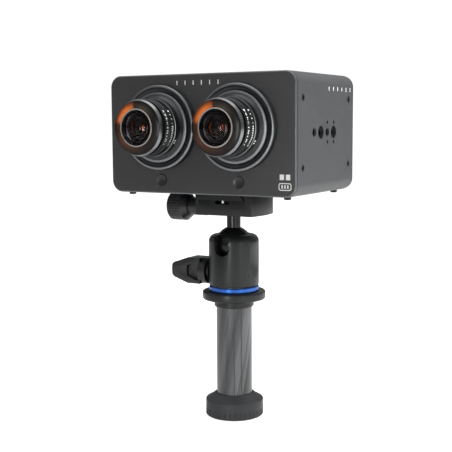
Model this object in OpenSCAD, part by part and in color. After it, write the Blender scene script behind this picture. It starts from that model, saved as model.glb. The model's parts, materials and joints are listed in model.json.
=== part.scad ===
// Stereo camera with two fisheye lenses, on its quick-release clamp, ball head and pole top.
// +Z is up and the lenses look along -Y. The origin is on the pole's axis, at the lock collar's foot.

/* [Camera body] */
// Width of the body
body_w = 156; // [140:1:190]
// Height of the body
body_h = 87.3; // [80:0.1:110]
// Depth of the body, front face to rear face
body_d = 101.4; // [96:0.2:125]
// Radius of the four long edges
corner_r = 8.7; // [5:0.1:12]
// Wall of the shell
shell_wall = 2.5; // [2:0.1:3.5]
// Thickness of the front plate
plate_t = 1.5; // [1.3:0.1:4]
// Thickness of the rear panel
rear_t = 2.4; // [2:0.1:4]
// Width of the shadow groove between a plate and the shell
seam_w = 0.4; // [0.3:0.1:2]

/* [Lenses] */
// Distance between the two lens axes
baseline = 65; // [63:0.5:80]
// Height of the lens axes above the body's underside
lens_up = 48.6; // [44:0.1:52]
// Radius of the flange on the front plate
flange_r = 31; // [29:0.1:31.4]
// How far the flange stands out
flange_h = 5.4; // [4:0.1:6]
// Radius of the step ring inside the flange
step_r = 25.7; // [24.5:0.1:26]
// Radius of the focus ring
focus_r = 20.9; // [20.5:0.1:21.3]
// Radius of the fixed index ring behind the focus ring
index_r = 21.4; // [21:0.1:22.4]
// Radius of the aperture ring
aperture_r = 20.7; // [20.3:0.1:21.3]
// Radius of the silver front band
band_r = 20.3; // [20:0.1:21]
// Radius of the front glass
glass_r = 12.6; // [11:0.1:13.5]
// Height of the glass dome above its edge
glass_rise = 4; // [3:0.1:6]
// How far the bezel's rim stands out from the front plate
rim_h = 31; // [30:0.1:36]

/* [Buttons] */
// Radius of a lens release button
release_r = 4.25; // [3:0.05:5]
// Height of the release buttons above the body's underside
release_up = 9.9; // [9.5:0.1:11]
// Clear gap round every button
button_gap = 0.3; // [0.2:0.05:0.5]
// Travel of a button
button_travel = 1.5; // [0.8:0.1:2]

/* [Side sockets] */
// Radius of a quarter-inch thread
quarter_r = 3.175; // [3:0.005:3.3]
// Radius of a three-eighths-inch thread
eighths_r = 4.7625; // [4.6:0.0005:4.9]
// Distance between neighbouring sockets
socket_pitch = 11.4; // [11:0.1:14]
// Distance of the locating pins above and below the sockets
pin_offset = 7.1; // [6.8:0.1:8]
// Radius of a locating pin's hole
pin_r = 1.4; // [1:0.05:1.6]

/* [Plate and clamp] */
// Width of the dovetail plate at its foot
dovetail_w = 38; // [34:0.2:45.6]
// Length of the dovetail plate
plate_l = 38; // [34:0.5:60]
// Height of the dovetail plate
plate_h = 6.8; // [6.4:0.1:12]
// Depth of the clamp, front to back
clamp_d = 36; // [34:0.5:44]
// Height of the clamp's base
base_h = 11.3; // [10.5:0.1:15]
// Radius of the clamp knob
knob_r = 11.5; // [9:0.1:12.5]
// How far the moving jaw opens
jaw_travel = 3; // [1:0.1:4]
// How far the camera slides either way in the clamp
slide_travel = 5; // [2:0.1:5]

/* [Ball head] */
// Radius of the ball
ball_r = 14.6; // [12.2:0.1:15]
// Radius of the ball's neck
neck_r = 5.35; // [4.5:0.05:6]
// Radius of the housing
housing_r = 19.5; // [19:0.1:24]
// Height of the housing
housing_h = 40.2; // [39:0.1:48]
// Depth of the ball's centre below the housing's top
ball_drop = 8.4; // [7:0.1:8.6]
// Half the width of the drop slot
slot_r = 6.5; // [6.3:0.1:7.5]
// Height of the clamp above the ball's centre
clamp_up = 23.9; // [22:0.1:28]

/* [Pole] */
// Radius of the carbon tube
tube_r = 14; // [11.7:0.1:15]
// Wall of the carbon tube
tube_wall = 1.5; // [1:0.1:2]
// Length of tube that shows
tube_show = 68.7; // [40:0.1:200]
// Radius of the base disc
disc_r = 24.6; // [22:0.1:30]
// Height of the base disc
disc_h = 6.6; // [5:0.1:10]
// Height of the blue ring
ring_h = 3.9; // [3:0.1:6]
// Radius of the twist-lock collar
collar_r = 22.6; // [22:0.1:26]
// Height of the twist-lock collar
collar_h = 18; // [17:0.1:34]
// Depth of the socket for the next tube down
socket_h = 10.5; // [8:0.1:11]
// Radius of the socket for the next tube down
socket_r = 16; // [15.5:0.1:16.5]

/* [Hidden] */
$fn = 96;
fit = 0.05;                    // radial clearance of a running fit
gap = 0.3;                     // clear air between pieces that move past each other
joggle = 0.01;                 // overshoot of a cutting tool past the face that it opens

sleeve_r = collar_r - 3.6;     // lock sleeve inside the collar
sleeve_h = collar_h - 6.5;
collet_r = tube_r + 1.6;       // split end that grips the tube
cap_h = 5.8;                   // rim of the tube cap
z_tube = collar_h + tube_show;
z_disc = z_tube + cap_h;
z_ring = z_disc + disc_h;
z_head = z_ring + ring_h;
washer_h = 0.4;
z_housing = z_head + washer_h + 0.1;
z_housing_top = z_head + housing_h;
z_ball = z_housing_top - ball_drop;
z_clamp = z_ball + clamp_up;
z_base = z_clamp + base_h;
plate_gap = 0.2;
z_plate = z_base + plate_gap;
z_body = z_plate + plate_h;
z_lens = z_body + lens_up;
z_mid = z_body + body_h / 2;

y_front = -body_d / 2;
y_rear = body_d / 2;
shell_y0 = y_front + plate_t + seam_w;
shell_y1 = y_rear - rear_t - seam_w;
side_x = body_w / 2;
wall_x = side_x - shell_wall;

seam_depth = 0.9;              // depth of the shadow grooves
plate_edge = 1.2;              // rounded edge of the front plate
plate_steps = 6;

// Lens heights, measured forwards from the front plate's face
lens_tube_r = 19;              // outside of the fixed lens tube
lens_bore_r = 17;              // inside of the fixed lens tube
lens_tail = 14;                // how far the lens reaches into the body
step_h = flange_h + 0.6;
index_h0 = step_h + 2.2;
index_h1 = index_h0 + 5;
focus_h0 = index_h1 + gap;
focus_h1 = focus_h0 + 6.3;
aperture_h0 = focus_h1 + gap;
aperture_h1 = rim_h - 6;
band_h0 = rim_h - 2.6;
band_taper = 1.1;
bezel_h = rim_h + 1.2;
ring_w = 1;                    // width of the silver ring round the glass
glass_h = bezel_h - 0.4;       // edge of the glass dome
dome_r = (glass_r * glass_r + glass_rise * glass_rise) / (2 * glass_rise);
inner_glass_r = 8.4;

// Clamp
jaw_lip = 2.6;                 // how far a jaw reaches over the plate's foot
foot_h = 0.8;                  // upright foot of the dovetail
plate_clear = 0.15;            // clearance between a jaw and the plate
jaw_top = z_body - 2.8;
foot_x = dovetail_w / 2;
neck_x = foot_x - jaw_lip;
jaw_t = 2.9;
clamp_x0 = -(foot_x + 1.5);
clamp_x1 = foot_x + 6;
jaw_x0 = clamp_x0 - gap - jaw_t;
bulge_r = 60;                  // curve of the clamp's fixed end
z_screw = z_clamp + 4.7;
screw_r = 3;
screw_x1 = -8;
bolt_head_r = 5;
bolt_head_h = 3.2;
knob_neck_r = 7;
knob_x2 = jaw_x0 - gap;
knob_l = 31.3;
knob_grip_l = 13;
knob_x0 = knob_x2 - knob_l;
guide_r = 1.5;
guide_y = clamp_d / 2 - 5.5;
notch_w = 12;
notch_h = 2.5;
stop_r = 1.2;
stop_y = clamp_d / 2 - 1.5;
notch_l = 1.5 + slide_travel + stop_r + 0.5;

// Ball head
cup_t = 0.95;                  // wall of the ball's cup
cup_angle = 40;                // how far up the ball the cup reaches
cup_r = ball_r + fit + cup_t;
cavity_r = cup_r + 0.1;
spindle_r = 9;
spindle_h = 5.6;
z_floor = z_head + spindle_h + 0.8;
seat_r = 9.2;
z_lock = z_head + 9.8;
lock_x = -(housing_r + 0.4);
lock_boss_r = 7;
hub_x = lock_x - 1.3;
hub_t = 6.5;
hub_r = 10.5;
wing_x = hub_x - 31.4;
wing_shoulder_x = hub_x - 16.8;
wing_t = 10.2;                 // half the wing's thickness at its shoulder
wing_y = 8;
lock_screw_r = 2.6;

// Feet, screws and sockets
foot_r = 2.6;
foot_x_at = side_x - 11.8;
foot_y_at = body_d / 2 - 10.2;
leg_h = 2.2;
screw_y_at = body_d / 2 - 10.2;
screw_z_at = 24.3;
socket_z = z_body + lens_up - 4;
socket_y = [for (i = [0:3]) -4.7 + (i - 1.5) * socket_pitch];
socket_radii = [quarter_r, eighths_r, quarter_r, eighths_r];
block_t = 8;
block_l = 3 * socket_pitch + 16;
block_h = 2 * pin_offset + 8;

// Rear panel
screen_w = 56;
screen_h = 38;
screen_x = -28;
screen_z = z_body + 56;
key_x = 18;
power_z = z_body + 68;
record_z = z_body + 50;
power_r = 4.5;
record_r = 6;
port_x = side_x - 38;
port_z = z_body + 22;
vent_x = side_x - 32;
vent_z = z_body + 60;
vent_n = 7;
vent_pitch = 4.6;
vent_l = 30;
vent_w = 2.4;
fan_w = 40;
fan_t = 10;
fan_y = y_rear - rear_t - 1;

// ---------------------------------------------------------------- shared shapes

// A cylinder along X from x0 to x1
module rod_x(x0, x1, r) {
    translate([x0, 0, 0]) rotate([0, 90, 0]) cylinder(h = x1 - x0, r = r);
}

// A cylinder along Y from y0 to y1
module rod_y(y0, y1, r) {
    translate([0, y1, 0]) rotate([90, 0, 0]) cylinder(h = y1 - y0, r = r);
}

// A box between two corners
module span(low, high) {
    translate(low) cube(high - low);
}

// An outline in X and Z, drawn out along Y to a length l
module upright(l) {
    rotate([90, 0, 0]) linear_extrude(l, center = true) children();
}

module rounded_rect(w, h, r) {
    square([w - 2 * r, h], center = true);
    square([w, h - 2 * r], center = true);
    for (x = [-1, 1], y = [-1, 1]) {
        translate([x * (w / 2 - r), y * (h / 2 - r)]) circle(r);
    }
}

// A slab of the body's outline, inset on every side, from y0 to y1
module body_slab(inset, y0, y1) {
    translate([0, y1, z_mid]) rotate([90, 0, 0]) linear_extrude(y1 - y0) {
        rounded_rect(body_w - 2 * inset, body_h - 2 * inset, corner_r - inset);
    }
}

// Puts a turned lens piece on the left (-1) or right (1) lens axis
module on_lens(side) {
    translate([side * baseline / 2, y_front, z_lens]) rotate([90, 0, 0]) rotate_extrude() children();
}

// ---------------------------------------------------------------- pole

module lock_sleeve() {
    color("#26282a") rotate_extrude() polygon([
        [socket_r, 0], [sleeve_r, 0], [sleeve_r, sleeve_h], [collet_r, sleeve_h],
        [collet_r, collar_h - 3], [tube_r, collar_h - 3], [tube_r, socket_h], [socket_r, socket_h]
    ]);
}

module twist_collar() {
    lip_z = collar_h - 3 + gap;
    rib_n = 36;
    color("#2b2d2f") difference() {
        rotate_extrude() polygon([
            [sleeve_r + fit, gap], [collar_r - 0.6, gap], [collar_r, gap + 0.6],
            [collar_r, collar_h - 5.3], [collar_r - 0.5, collar_h - 4.8],
            [collar_r - 4.8, collar_h - 2.4], [tube_r + 1, collar_h], [tube_r + gap, collar_h],
            [tube_r + gap, lip_z], [collet_r + fit, lip_z], [collet_r + fit, sleeve_h + gap],
            [sleeve_r + fit, sleeve_h + gap]
        ]);
        for (i = [0:rib_n - 1]) {
            rotate([0, 0, i * 360 / rib_n]) translate([collar_r + 0.35, 0, gap + 1]) {
                cylinder(h = 4.6, r = 0.9, $fn = 24);
            }
        }
    }
}

module pole_tube() {
    channel_w = 5.8;
    color("#3c3e40") difference() {
        translate([0, 0, socket_h]) cylinder(h = z_tube - socket_h, r = tube_r);
        translate([0, 0, socket_h - joggle]) {
            cylinder(h = z_tube - socket_h + 2 * joggle, r = tube_r - tube_wall);
        }
        rotate([0, 0, 41 - 90]) translate([tube_r - 0.5, -channel_w / 2, collar_h + joggle]) {
            cube([1, channel_w, tube_show]);
        }
    }
}

module tube_cap() {
    plug_l = 18;
    color("#2a2b2d") difference() {
        rotate_extrude() polygon([
            [0, z_tube - plug_l], [tube_r - tube_wall, z_tube - plug_l], [tube_r - tube_wall, z_tube],
            [tube_r + 1.1, z_tube], [tube_r + 1.5, z_tube + 0.5], [tube_r + 1.5, z_disc], [0, z_disc]
        ]);
        translate([0, 0, z_tube - plug_l - joggle]) cylinder(h = plug_l + cap_h + 1, r = eighths_r);
    }
}

module base_disc() {
    chamfer = 0.9;
    color("#2e2f31") difference() {
        rotate_extrude() polygon([
            [0, z_disc], [disc_r - chamfer, z_disc], [disc_r, z_disc + chamfer],
            [disc_r, z_ring - chamfer], [disc_r - chamfer, z_ring], [0, z_ring]
        ]);
        translate([0, 0, z_disc - joggle]) cylinder(h = disc_h + 1, r = eighths_r + 0.2);
    }
}

module blue_ring() {
    edge = 0.7;
    color("#2f6fd0") difference() {
        rotate_extrude() polygon([
            [0, z_ring], [housing_r - edge, z_ring], [housing_r, z_ring + edge],
            [housing_r, z_head - edge], [housing_r - edge, z_head], [spindle_r, z_head],
            [spindle_r, z_head + spindle_h], [0, z_head + spindle_h]
        ]);
        translate([0, 0, z_ring - joggle]) cylinder(h = ring_h + spindle_h + 1, r = eighths_r);
    }
}

module head_stud() {
    color("#9a9c9e") translate([0, 0, z_tube - 12]) {
        cylinder(h = z_head + spindle_h - 1 - (z_tube - 12), r = eighths_r);
    }
}

module pan_washer() {
    color("#d8d8d2") translate([0, 0, z_head]) difference() {
        cylinder(h = washer_h, r = housing_r - 2.5);
        translate([0, 0, -joggle]) cylinder(h = 1, r = spindle_r + 0.4);
    }
}

// ---------------------------------------------------------------- ball head

// Outline of the housing, as radius and height
module housing_outline() {
    shoulder = 5.5;
    difference() {
        polygon([
            [0, z_housing], [housing_r - 0.5, z_housing], [housing_r, z_housing + 0.5],
            [housing_r, z_housing_top], [0, z_housing_top]
        ]);
        translate([housing_r - shoulder, z_housing_top - shoulder]) difference() {
            square(shoulder + 1);
            circle(shoulder);
        }
    }
}

// The drop slot, cut forwards through the housing's wall
module drop_slot(r) {
    slot_z = z_ball - 0.8;
    translate([0, 0, slot_z]) rod_y(-housing_r - 1, 0, r);
    span([-r, -housing_r - 1, slot_z], [r, 0, z_housing_top + 1]);
}

module ball_housing() {
    waist_r = 40;
    waist_depth = 1.4;
    color("#303234") difference() {
        rotate_extrude() housing_outline();
        translate([0, 0, z_housing - 1]) cylinder(h = 20, r = spindle_r + fit);
        translate([0, 0, z_floor]) cylinder(h = z_ball - 6 - z_floor, r = cavity_r);
        translate([0, 0, z_ball]) sphere(r = ball_r + fit);
        drop_slot(slot_r);
        translate([housing_r + waist_r - waist_depth, 0, z_head + 22]) rod_y(-30, 30, waist_r);
        translate([0, 0, z_lock]) rod_x(-housing_r - 1, -10, lock_screw_r + fit);
    }
}

module ball_seat() {
    foot_z = z_floor + 1;
    flange_z = z_ball - cup_r + 2;
    color("#c9c4b4") difference() {
        union() {
            translate([0, 0, foot_z]) cylinder(h = flange_z - foot_z + 1, r = seat_r);
            translate([0, 0, flange_z]) cylinder(h = 3, r = cavity_r - fit);
        }
        translate([0, 0, z_ball]) sphere(r = cup_r + fit);
        translate([0, 0, foot_z - 1]) cylinder(h = 20, r = 3);
    }
}

module ball_cup() {
    reach = cup_r * cos(cup_angle);
    color("#b58a3c") translate([0, 0, z_ball]) difference() {
        sphere(r = cup_r);
        sphere(r = ball_r + fit);
        translate([-20, -20, -reach]) cube([40, 40, 40]);
    }
}

module ball_stem() {
    thread_l = 11;
    color("#2c2d2f") difference() {
        union() {
            translate([0, 0, z_ball]) sphere(r = ball_r);
            translate([0, 0, z_ball]) cylinder(h = clamp_up, r = neck_r);
            translate([0, 0, z_clamp - 1.4]) cylinder(h = 1.4, r = neck_r + 0.5);
        }
        translate([0, 0, z_clamp - thread_l]) cylinder(h = thread_l + 1, r = screw_r);
    }
}

// The wing's pocket, cut into one flank
module wing_pocket() {
    pocket_d = 3.4;
    x0 = wing_shoulder_x - 0.5;
    x1 = hub_x - hub_t - 0.6;
    translate([0, -wing_y - joggle, 0]) rotate([-90, 0, 0]) linear_extrude(pocket_d) polygon([
        [x1, 8.2], [x0 + 1, 4.6], [x0, 3.6], [x0, -3.6], [x0 + 1, -4.6], [x1, -8.2]
    ]);
}

module lock_lever() {
    x1 = hub_x - hub_t + 1;
    color("#2d2f31") translate([0, 0, z_lock]) difference() {
        union() {
            rod_x(hub_x - joggle, lock_x, lock_boss_r);
            rod_x(hub_x - hub_t, hub_x, hub_r);
            upright(2 * wing_y) polygon([
                [x1, wing_t], [wing_shoulder_x, wing_t], [wing_x + 2.1, 5.9], [wing_x + 0.4, 4.2],
                [wing_x, 0], [wing_x + 0.4, -4.2], [wing_x + 2.1, -5.9], [wing_shoulder_x, -wing_t],
                [x1, -wing_t]
            ]);
        }
        wing_pocket();
        mirror([0, 1, 0]) wing_pocket();
        rod_x(hub_x - 4, lock_x + 1, lock_screw_r);
    }
}

module lock_screw() {
    tip_x = -seat_r - gap;
    color("#a8aaac") translate([0, 0, z_lock]) {
        rod_x(hub_x - 4, tip_x - 2, lock_screw_r);
        translate([tip_x - 2 - joggle, 0, 0]) rotate([0, 90, 0]) {
            cylinder(h = 2, r1 = lock_screw_r - 0.2, r2 = 1);
        }
    }
}

// ---------------------------------------------------------------- clamp

// The jaw's lip and its undercut, drawn for the jaw on the +X side
module jaw_section() {
    c = plate_clear;
    bevel_z = z_plate + foot_h;
    polygon([
        [foot_x + c, z_base - 1], [foot_x + c, bevel_z], [neck_x + c, bevel_z + jaw_lip],
        [neck_x + c, jaw_top - 0.6], [neck_x + c + 0.6, jaw_top], [foot_x + 6, jaw_top],
        [foot_x + 6, z_base - 1]
    ]);
}

module clamp_body() {
    color("#303133") difference() {
        intersection() {
            union() {
                span([clamp_x0, -clamp_d / 2, z_clamp], [clamp_x1 + 5, clamp_d / 2, z_base]);
                upright(clamp_d) jaw_section();
                span([clamp_x1 - 0.5, -clamp_d / 2, z_base - 1], [clamp_x1 + 5, clamp_d / 2, jaw_top]);
            }
            translate([clamp_x1 + 2.8 - bulge_r, 0, z_clamp - 1]) {
                cylinder(h = base_h + plate_h + 2, r = bulge_r, $fn = 200);
            }
        }
        for (side = [-1, 1]) {
            translate([0, side * (clamp_d / 2 - notch_l / 2 + 1), z_base - notch_h / 2 + 1]) {
                cube([notch_w, notch_l + 2, notch_h + 2], center = true);
            }
            translate([0, side * guide_y, z_screw]) rod_x(clamp_x0 - 1, clamp_x0 + 14, guide_r + fit);
        }
        translate([0, 0, z_screw]) rod_x(clamp_x0 - 1, screw_x1 + 1, screw_r + fit);
        translate([0, 0, z_base - bolt_head_h]) cylinder(h = 5, r = bolt_head_r + 0.2);
        translate([0, 0, z_clamp - 1]) cylinder(h = base_h, r = screw_r);
    }
}

module clamp_bolt() {
    head_z = z_base - bolt_head_h;
    color("#8f9193") difference() {
        union() {
            translate([0, 0, z_clamp - 10]) cylinder(h = head_z - z_clamp + 10, r = screw_r);
            translate([0, 0, head_z]) cylinder(h = bolt_head_h - 0.4, r = bolt_head_r);
        }
        translate([0, 0, head_z + 1]) cylinder(h = 5, r = 2.6, $fn = 6);
    }
}

module moving_jaw() {
    color("#303133") difference() {
        union() {
            span([jaw_x0, -clamp_d / 2, z_clamp], [clamp_x0 - gap, clamp_d / 2, jaw_top - 1]);
            mirror([1, 0, 0]) upright(clamp_d) intersection() {
                jaw_section();
                translate([0, z_plate + 0.2]) square([-jaw_x0, 20]);
            }
        }
        translate([0, 0, z_screw]) rod_x(jaw_x0 - 1, clamp_x0 + 1, screw_r + gap);
        for (side = [-1, 1]) {
            translate([0, side * guide_y, z_screw]) rod_x(jaw_x0 + 1, clamp_x0 + 1, guide_r);
        }
    }
}

module jaw_guide_pins() {
    color("#a8aaac") for (side = [-1, 1]) {
        translate([0, side * guide_y, z_screw]) rod_x(jaw_x0 + 1, clamp_x0 + 10, guide_r);
    }
}

module clamp_knob() {
    rib_n = 30;
    color("#2b2c2e") translate([0, 0, z_screw]) difference() {
        translate([knob_x0, 0, 0]) rotate([0, 90, 0]) rotate_extrude() polygon([
            [0, 0], [knob_r - 1, 0], [knob_r, 1], [knob_r, knob_grip_l],
            [knob_neck_r + 1.2, knob_grip_l + 4], [knob_neck_r, knob_grip_l + 4.6],
            [knob_neck_r, knob_l], [0, knob_l]
        ]);
        for (i = [0:rib_n - 1]) {
            rotate([i * 360 / rib_n, 0, 0]) translate([knob_x0 + 1.6, 0, knob_r + 0.2]) {
                rotate([0, 90, 0]) cylinder(h = knob_grip_l - 3.2, r = 0.55, $fn = 24);
            }
        }
        rod_x(knob_x0 + 8, knob_x2 + 1, screw_r);
    }
}

module clamp_screw() {
    color("#a8aaac") translate([0, 0, z_screw]) rod_x(knob_x0 + 8, screw_x1, screw_r);
}

// ---------------------------------------------------------------- plate under the camera

module dovetail_plate() {
    color("#28292b") difference() {
        upright(plate_l) polygon([
            [-foot_x, z_plate], [foot_x, z_plate], [foot_x, z_plate + foot_h],
            [neck_x, z_plate + foot_h + jaw_lip], [neck_x, z_body], [-neck_x, z_body],
            [-neck_x, z_plate + foot_h + jaw_lip], [-foot_x, z_plate + foot_h]
        ]);
        translate([0, 0, z_plate - 1]) cylinder(h = 4.6, r = 6.6);
        translate([0, 0, z_plate]) cylinder(h = plate_h + 1, r = quarter_r);
        for (side = [-1, 1]) {
            translate([0, side * stop_y, z_plate - 1]) cylinder(h = 5, r = stop_r);
        }
    }
}

module plate_screw() {
    head_z = z_plate + 0.8;
    color("#b0b2b4") difference() {
        union() {
            translate([0, 0, head_z]) cylinder(h = 2.8, r = 6.4);
            translate([0, 0, head_z + 2.7]) cylinder(h = z_body + 7.5 - head_z - 2.7, r = quarter_r);
        }
        translate([-6, -0.6, head_z - 1]) cube([12, 1.2, 2.2]);
    }
}

module plate_stops() {
    color("#b0b2b4") for (side = [-1, 1]) {
        translate([0, side * stop_y, z_plate - notch_h + 0.5]) cylinder(h = notch_h + 3.5, r = stop_r);
    }
}

module tripod_bush() {
    color("#a0a2a4") translate([0, 0, z_body]) difference() {
        union() {
            cylinder(h = shell_wall, r = 6);
            translate([0, 0, shell_wall]) cylinder(h = 6, r = 9);
        }
        translate([0, 0, -1]) cylinder(h = 12, r = quarter_r);
    }
}

module feet() {
    color("#1d1e1f") for (x = [-1, 1], y = [-1, 1]) {
        translate([x * foot_x_at, y * foot_y_at, z_body]) {
            translate([0, 0, -leg_h + 0.6]) cylinder(h = leg_h - 0.6, r = foot_r);
            translate([0, 0, -leg_h]) cylinder(h = 0.6, r1 = foot_r - 0.5, r2 = foot_r);
            cylinder(h = shell_wall, r = 1.4);
        }
    }
}

// ---------------------------------------------------------------- camera body

// Repeats a child at the four screws of the left (-1) and right (1) side
module at_side_screws() {
    for (side = [-1, 1], y = [-1, 1], z = [-1, 1]) {
        translate([0, y * screw_y_at, z_mid + 0.9 + z * screw_z_at]) mirror([side < 0 ? 1 : 0, 0, 0]) {
            children();
        }
    }
}

module screw_head_shape(extra) {
    translate([side_x - 1.5, 0, 0]) rotate([0, 90, 0]) {
        cylinder(h = 1.5 + extra, r1 = 1.3, r2 = 2.5 + extra * 0.8);
    }
}

module camera_shell() {
    color("#5c5e60") difference() {
        union() {
            body_slab(0, shell_y0, shell_y1);
            body_slab(seam_depth, y_front + plate_t, y_rear - rear_t);
        }
        body_slab(shell_wall, y_front, y_rear);
        at_side_screws() {
            screw_head_shape(joggle);
            rod_x(side_x - 12, side_x - 1, 1.3);
        }
        for (i = [0:3]) {
            translate([0, socket_y[i], socket_z]) rod_x(wall_x - 1, side_x + 1, socket_radii[i]);
        }
        for (i = [2, 3], z = [-1, 1]) {
            translate([0, socket_y[i], socket_z + z * pin_offset]) rod_x(wall_x - 1, side_x + 1, pin_r);
        }
        translate([0, 0, z_body - 1]) cylinder(h = 5, r = 6);
        for (x = [-1, 1], y = [-1, 1]) {
            translate([x * foot_x_at, y * foot_y_at, z_body - 1]) cylinder(h = 6, r = 1.4);
        }
    }
}

module side_screws() {
    color("#2a2b2c") at_side_screws() difference() {
        union() {
            screw_head_shape(0);
            rod_x(side_x - 9, side_x - 1.4, 1.3);
        }
        translate([side_x - 1.1, 0, 0]) rotate([0, 90, 0]) cylinder(h = 2, r = 1.15, $fn = 6);
    }
}

module side_block() {
    color("#77797b") difference() {
        span([wall_x - block_t, -4.7 - block_l / 2, socket_z - block_h / 2],
             [wall_x, -4.7 + block_l / 2, socket_z + block_h / 2]);
        for (i = [0:3]) {
            translate([0, socket_y[i], socket_z]) rod_x(wall_x - 20, wall_x + 1, socket_radii[i]);
        }
        for (i = [2, 3], z = [-1, 1]) {
            translate([0, socket_y[i], socket_z + z * pin_offset]) rod_x(wall_x - 5, wall_x + 1, pin_r);
        }
    }
}

module front_plate() {
    color("#47494b") difference() {
        for (i = [0:plate_steps - 1]) {
            inset = plate_edge * (1 - sqrt(1 - pow(1 - i / plate_steps, 2)));
            body_slab(inset, y_front + i * plate_edge / plate_steps, y_front + plate_t);
        }
        for (side = [-1, 1]) {
            translate([side * baseline / 2, 0, z_lens]) rod_y(y_front - 1, y_front + 5, step_r - 1);
            translate([side * baseline / 2, 0, z_body + release_up]) {
                rod_y(y_front - 1, y_front + 5, release_r + button_gap);
            }
        }
    }
}

module release_button(side) {
    dish_r = 14;
    color("#1f2021") translate([side * baseline / 2, 0, z_body + release_up]) difference() {
        union() {
            rod_y(y_front - 0.5, y_front + 4.5, release_r);
            rod_y(y_front + 4, y_front + 5.5, release_r + 1);
        }
        translate([0, y_front - 0.5 - dish_r + 0.6, 0]) sphere(r = dish_r);
    }
}

// ---------------------------------------------------------------- lenses

module lens_flange(side) {
    color("#2b2c2e") on_lens(side) polygon([
        [step_r + gap, 0], [flange_r, 0], [flange_r, flange_h - 0.9], [flange_r - 0.9, flange_h],
        [flange_r - 1.9, flange_h], [flange_r - 2.3, flange_h - 0.8], [step_r + 0.9, flange_h - 1],
        [step_r + gap, flange_h - 1]
    ]);
}

module lens_barrel(side) {
    color("#c4c6c8") on_lens(side) polygon([
        [lens_bore_r, -lens_tail], [lens_tube_r, -lens_tail], [lens_tube_r, -plate_t - 1],
        [step_r - 1, -plate_t - 1], [step_r - 1, 0], [step_r, 0], [step_r, step_h - 0.8],
        [step_r - 0.8, step_h], [step_r - 2, step_h], [index_r, index_h0], [index_r, index_h1 - 0.7],
        [index_r - 0.7, index_h1], [lens_tube_r, index_h1], [lens_tube_r, band_h0],
        [band_r - 0.2, band_h0], [band_r, band_h0 + 0.3], [band_r - band_taper, rim_h],
        [lens_bore_r, rim_h]
    ]);
}

module focus_ring(side) {
    color("#1c1d1e") on_lens(side) polygon([
        [lens_tube_r + fit, focus_h0], [focus_r - 0.3, focus_h0], [focus_r, focus_h0 + 0.3],
        [focus_r, focus_h1 - 0.8], [focus_r - 0.8, focus_h1], [lens_tube_r + fit, focus_h1]
    ]);
}

module aperture_ring(side) {
    waist = 0.5;
    color("#1c1d1e") on_lens(side) polygon([
        [lens_tube_r + fit, aperture_h0], [aperture_r - waist, aperture_h0],
        [aperture_r - waist, aperture_h0 + 0.8], [aperture_r, aperture_h0 + 1.2],
        [aperture_r, aperture_h1 - 1.8], [aperture_r - waist, aperture_h1 - 1.2],
        [aperture_r - waist, aperture_h1], [lens_tube_r + fit, aperture_h1]
    ]);
}

module front_bezel(side) {
    bezel_r = glass_r + ring_w;
    color("#141516") on_lens(side) polygon([
        [lens_bore_r, rim_h - 4], [lens_bore_r, rim_h], [band_r - band_taper, rim_h],
        [bezel_r, bezel_h], [bezel_r, rim_h - 4]
    ]);
}

module glass_ring(side) {
    bezel_r = glass_r + ring_w;
    color("#d0d2d4") on_lens(side) polygon([
        [glass_r, glass_h - 4], [bezel_r, glass_h - 4], [bezel_r, bezel_h + 0.1],
        [bezel_r - 0.3, bezel_h + 0.3], [glass_r + 0.1, bezel_h + 0.3], [glass_r, bezel_h]
    ]);
}

module front_glass(side) {
    back_r = 14;
    color("#1a1614") on_lens(side) difference() {
        intersection() {
            translate([0, glass_h + glass_rise - dome_r]) circle(dome_r, $fn = 200);
            translate([0, glass_h - 3]) square([glass_r, 20]);
        }
        translate([0, glass_h + glass_rise - 2.4 - back_r]) circle(back_r, $fn = 200);
        translate([-50, glass_h - 50]) square([50, 100]);
    }
}

// Cemented elements stacked behind the front glass, each a separate solid
module lens_group(side) {
    heights = [12, 4, -6];
    color("#20262c") for (h = heights) {
        on_lens(side) intersection() {
            translate([0, h + 6 - inner_glass_r * 1.6]) circle(inner_glass_r * 1.6, $fn = 160);
            translate([0, h]) square([inner_glass_r, 8]);
        }
    }
    color("#2a2a2a") on_lens(side) difference() {
        translate([inner_glass_r, -lens_tail + 1]) square([lens_bore_r - inner_glass_r, 32]);
        for (h = heights) {
            translate([inner_glass_r - 1, h + 4]) square([3.5, 3]);
        }
    }
}

// ---------------------------------------------------------------- inside the body

module image_sensors() {
    color("#3a5a48") for (side = [-1, 1]) {
        translate([side * baseline / 2, y_front + lens_tail + 5.5, z_lens]) {
            cube([20, 1.6, 16], center = true);
        }
    }
}

module sensor_boards() {
    board_y = y_front + lens_tail + 6.3;
    color("#1f6b3f") for (side = [-1, 1]) {
        x = side * baseline / 2;
        span([x - 20, board_y, z_lens - 20], [x + 20, board_y + 1.6, z_lens + 20]);
    }
}

module chassis() {
    rail = 6;
    y0 = y_front + lens_tail + 10;
    inner_x = wall_x - gap;
    z0 = z_body + shell_wall + 7;
    z1 = z_body + body_h - shell_wall - corner_r;
    color("#8a8c8e") difference() {
        union() {
            span([-inner_x + block_t, y0, z0], [inner_x - block_t, y0 + 2, z1]);
            for (side = [-1, 1], z = [-1, 1]) {
                z_c = z_mid + 0.9 + z * screw_z_at;
                x0 = side < 0 ? -inner_x : inner_x - block_t - 0.5;
                span([x0, -screw_y_at - rail / 2, z_c - rail / 2],
                     [x0 + block_t + 0.5, screw_y_at + rail / 2, z_c + rail / 2]);
            }
        }
        at_side_screws() rod_x(side_x - 20, side_x, 1.3);
    }
}

module heat_sink() {
    fin_n = 15;
    y0 = y_front + lens_tail + 12;
    color("#a9abad") {
        span([-55, y0, z_mid - 28], [55, y0 + 4, z_mid + 28]);
        for (i = [0:fin_n - 1]) {
            translate([-54 + i * 108 / (fin_n - 1) - 0.6, y0 + 4 - joggle, z_mid - 28]) cube([1.2, 12, 56]);
        }
    }
}

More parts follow.
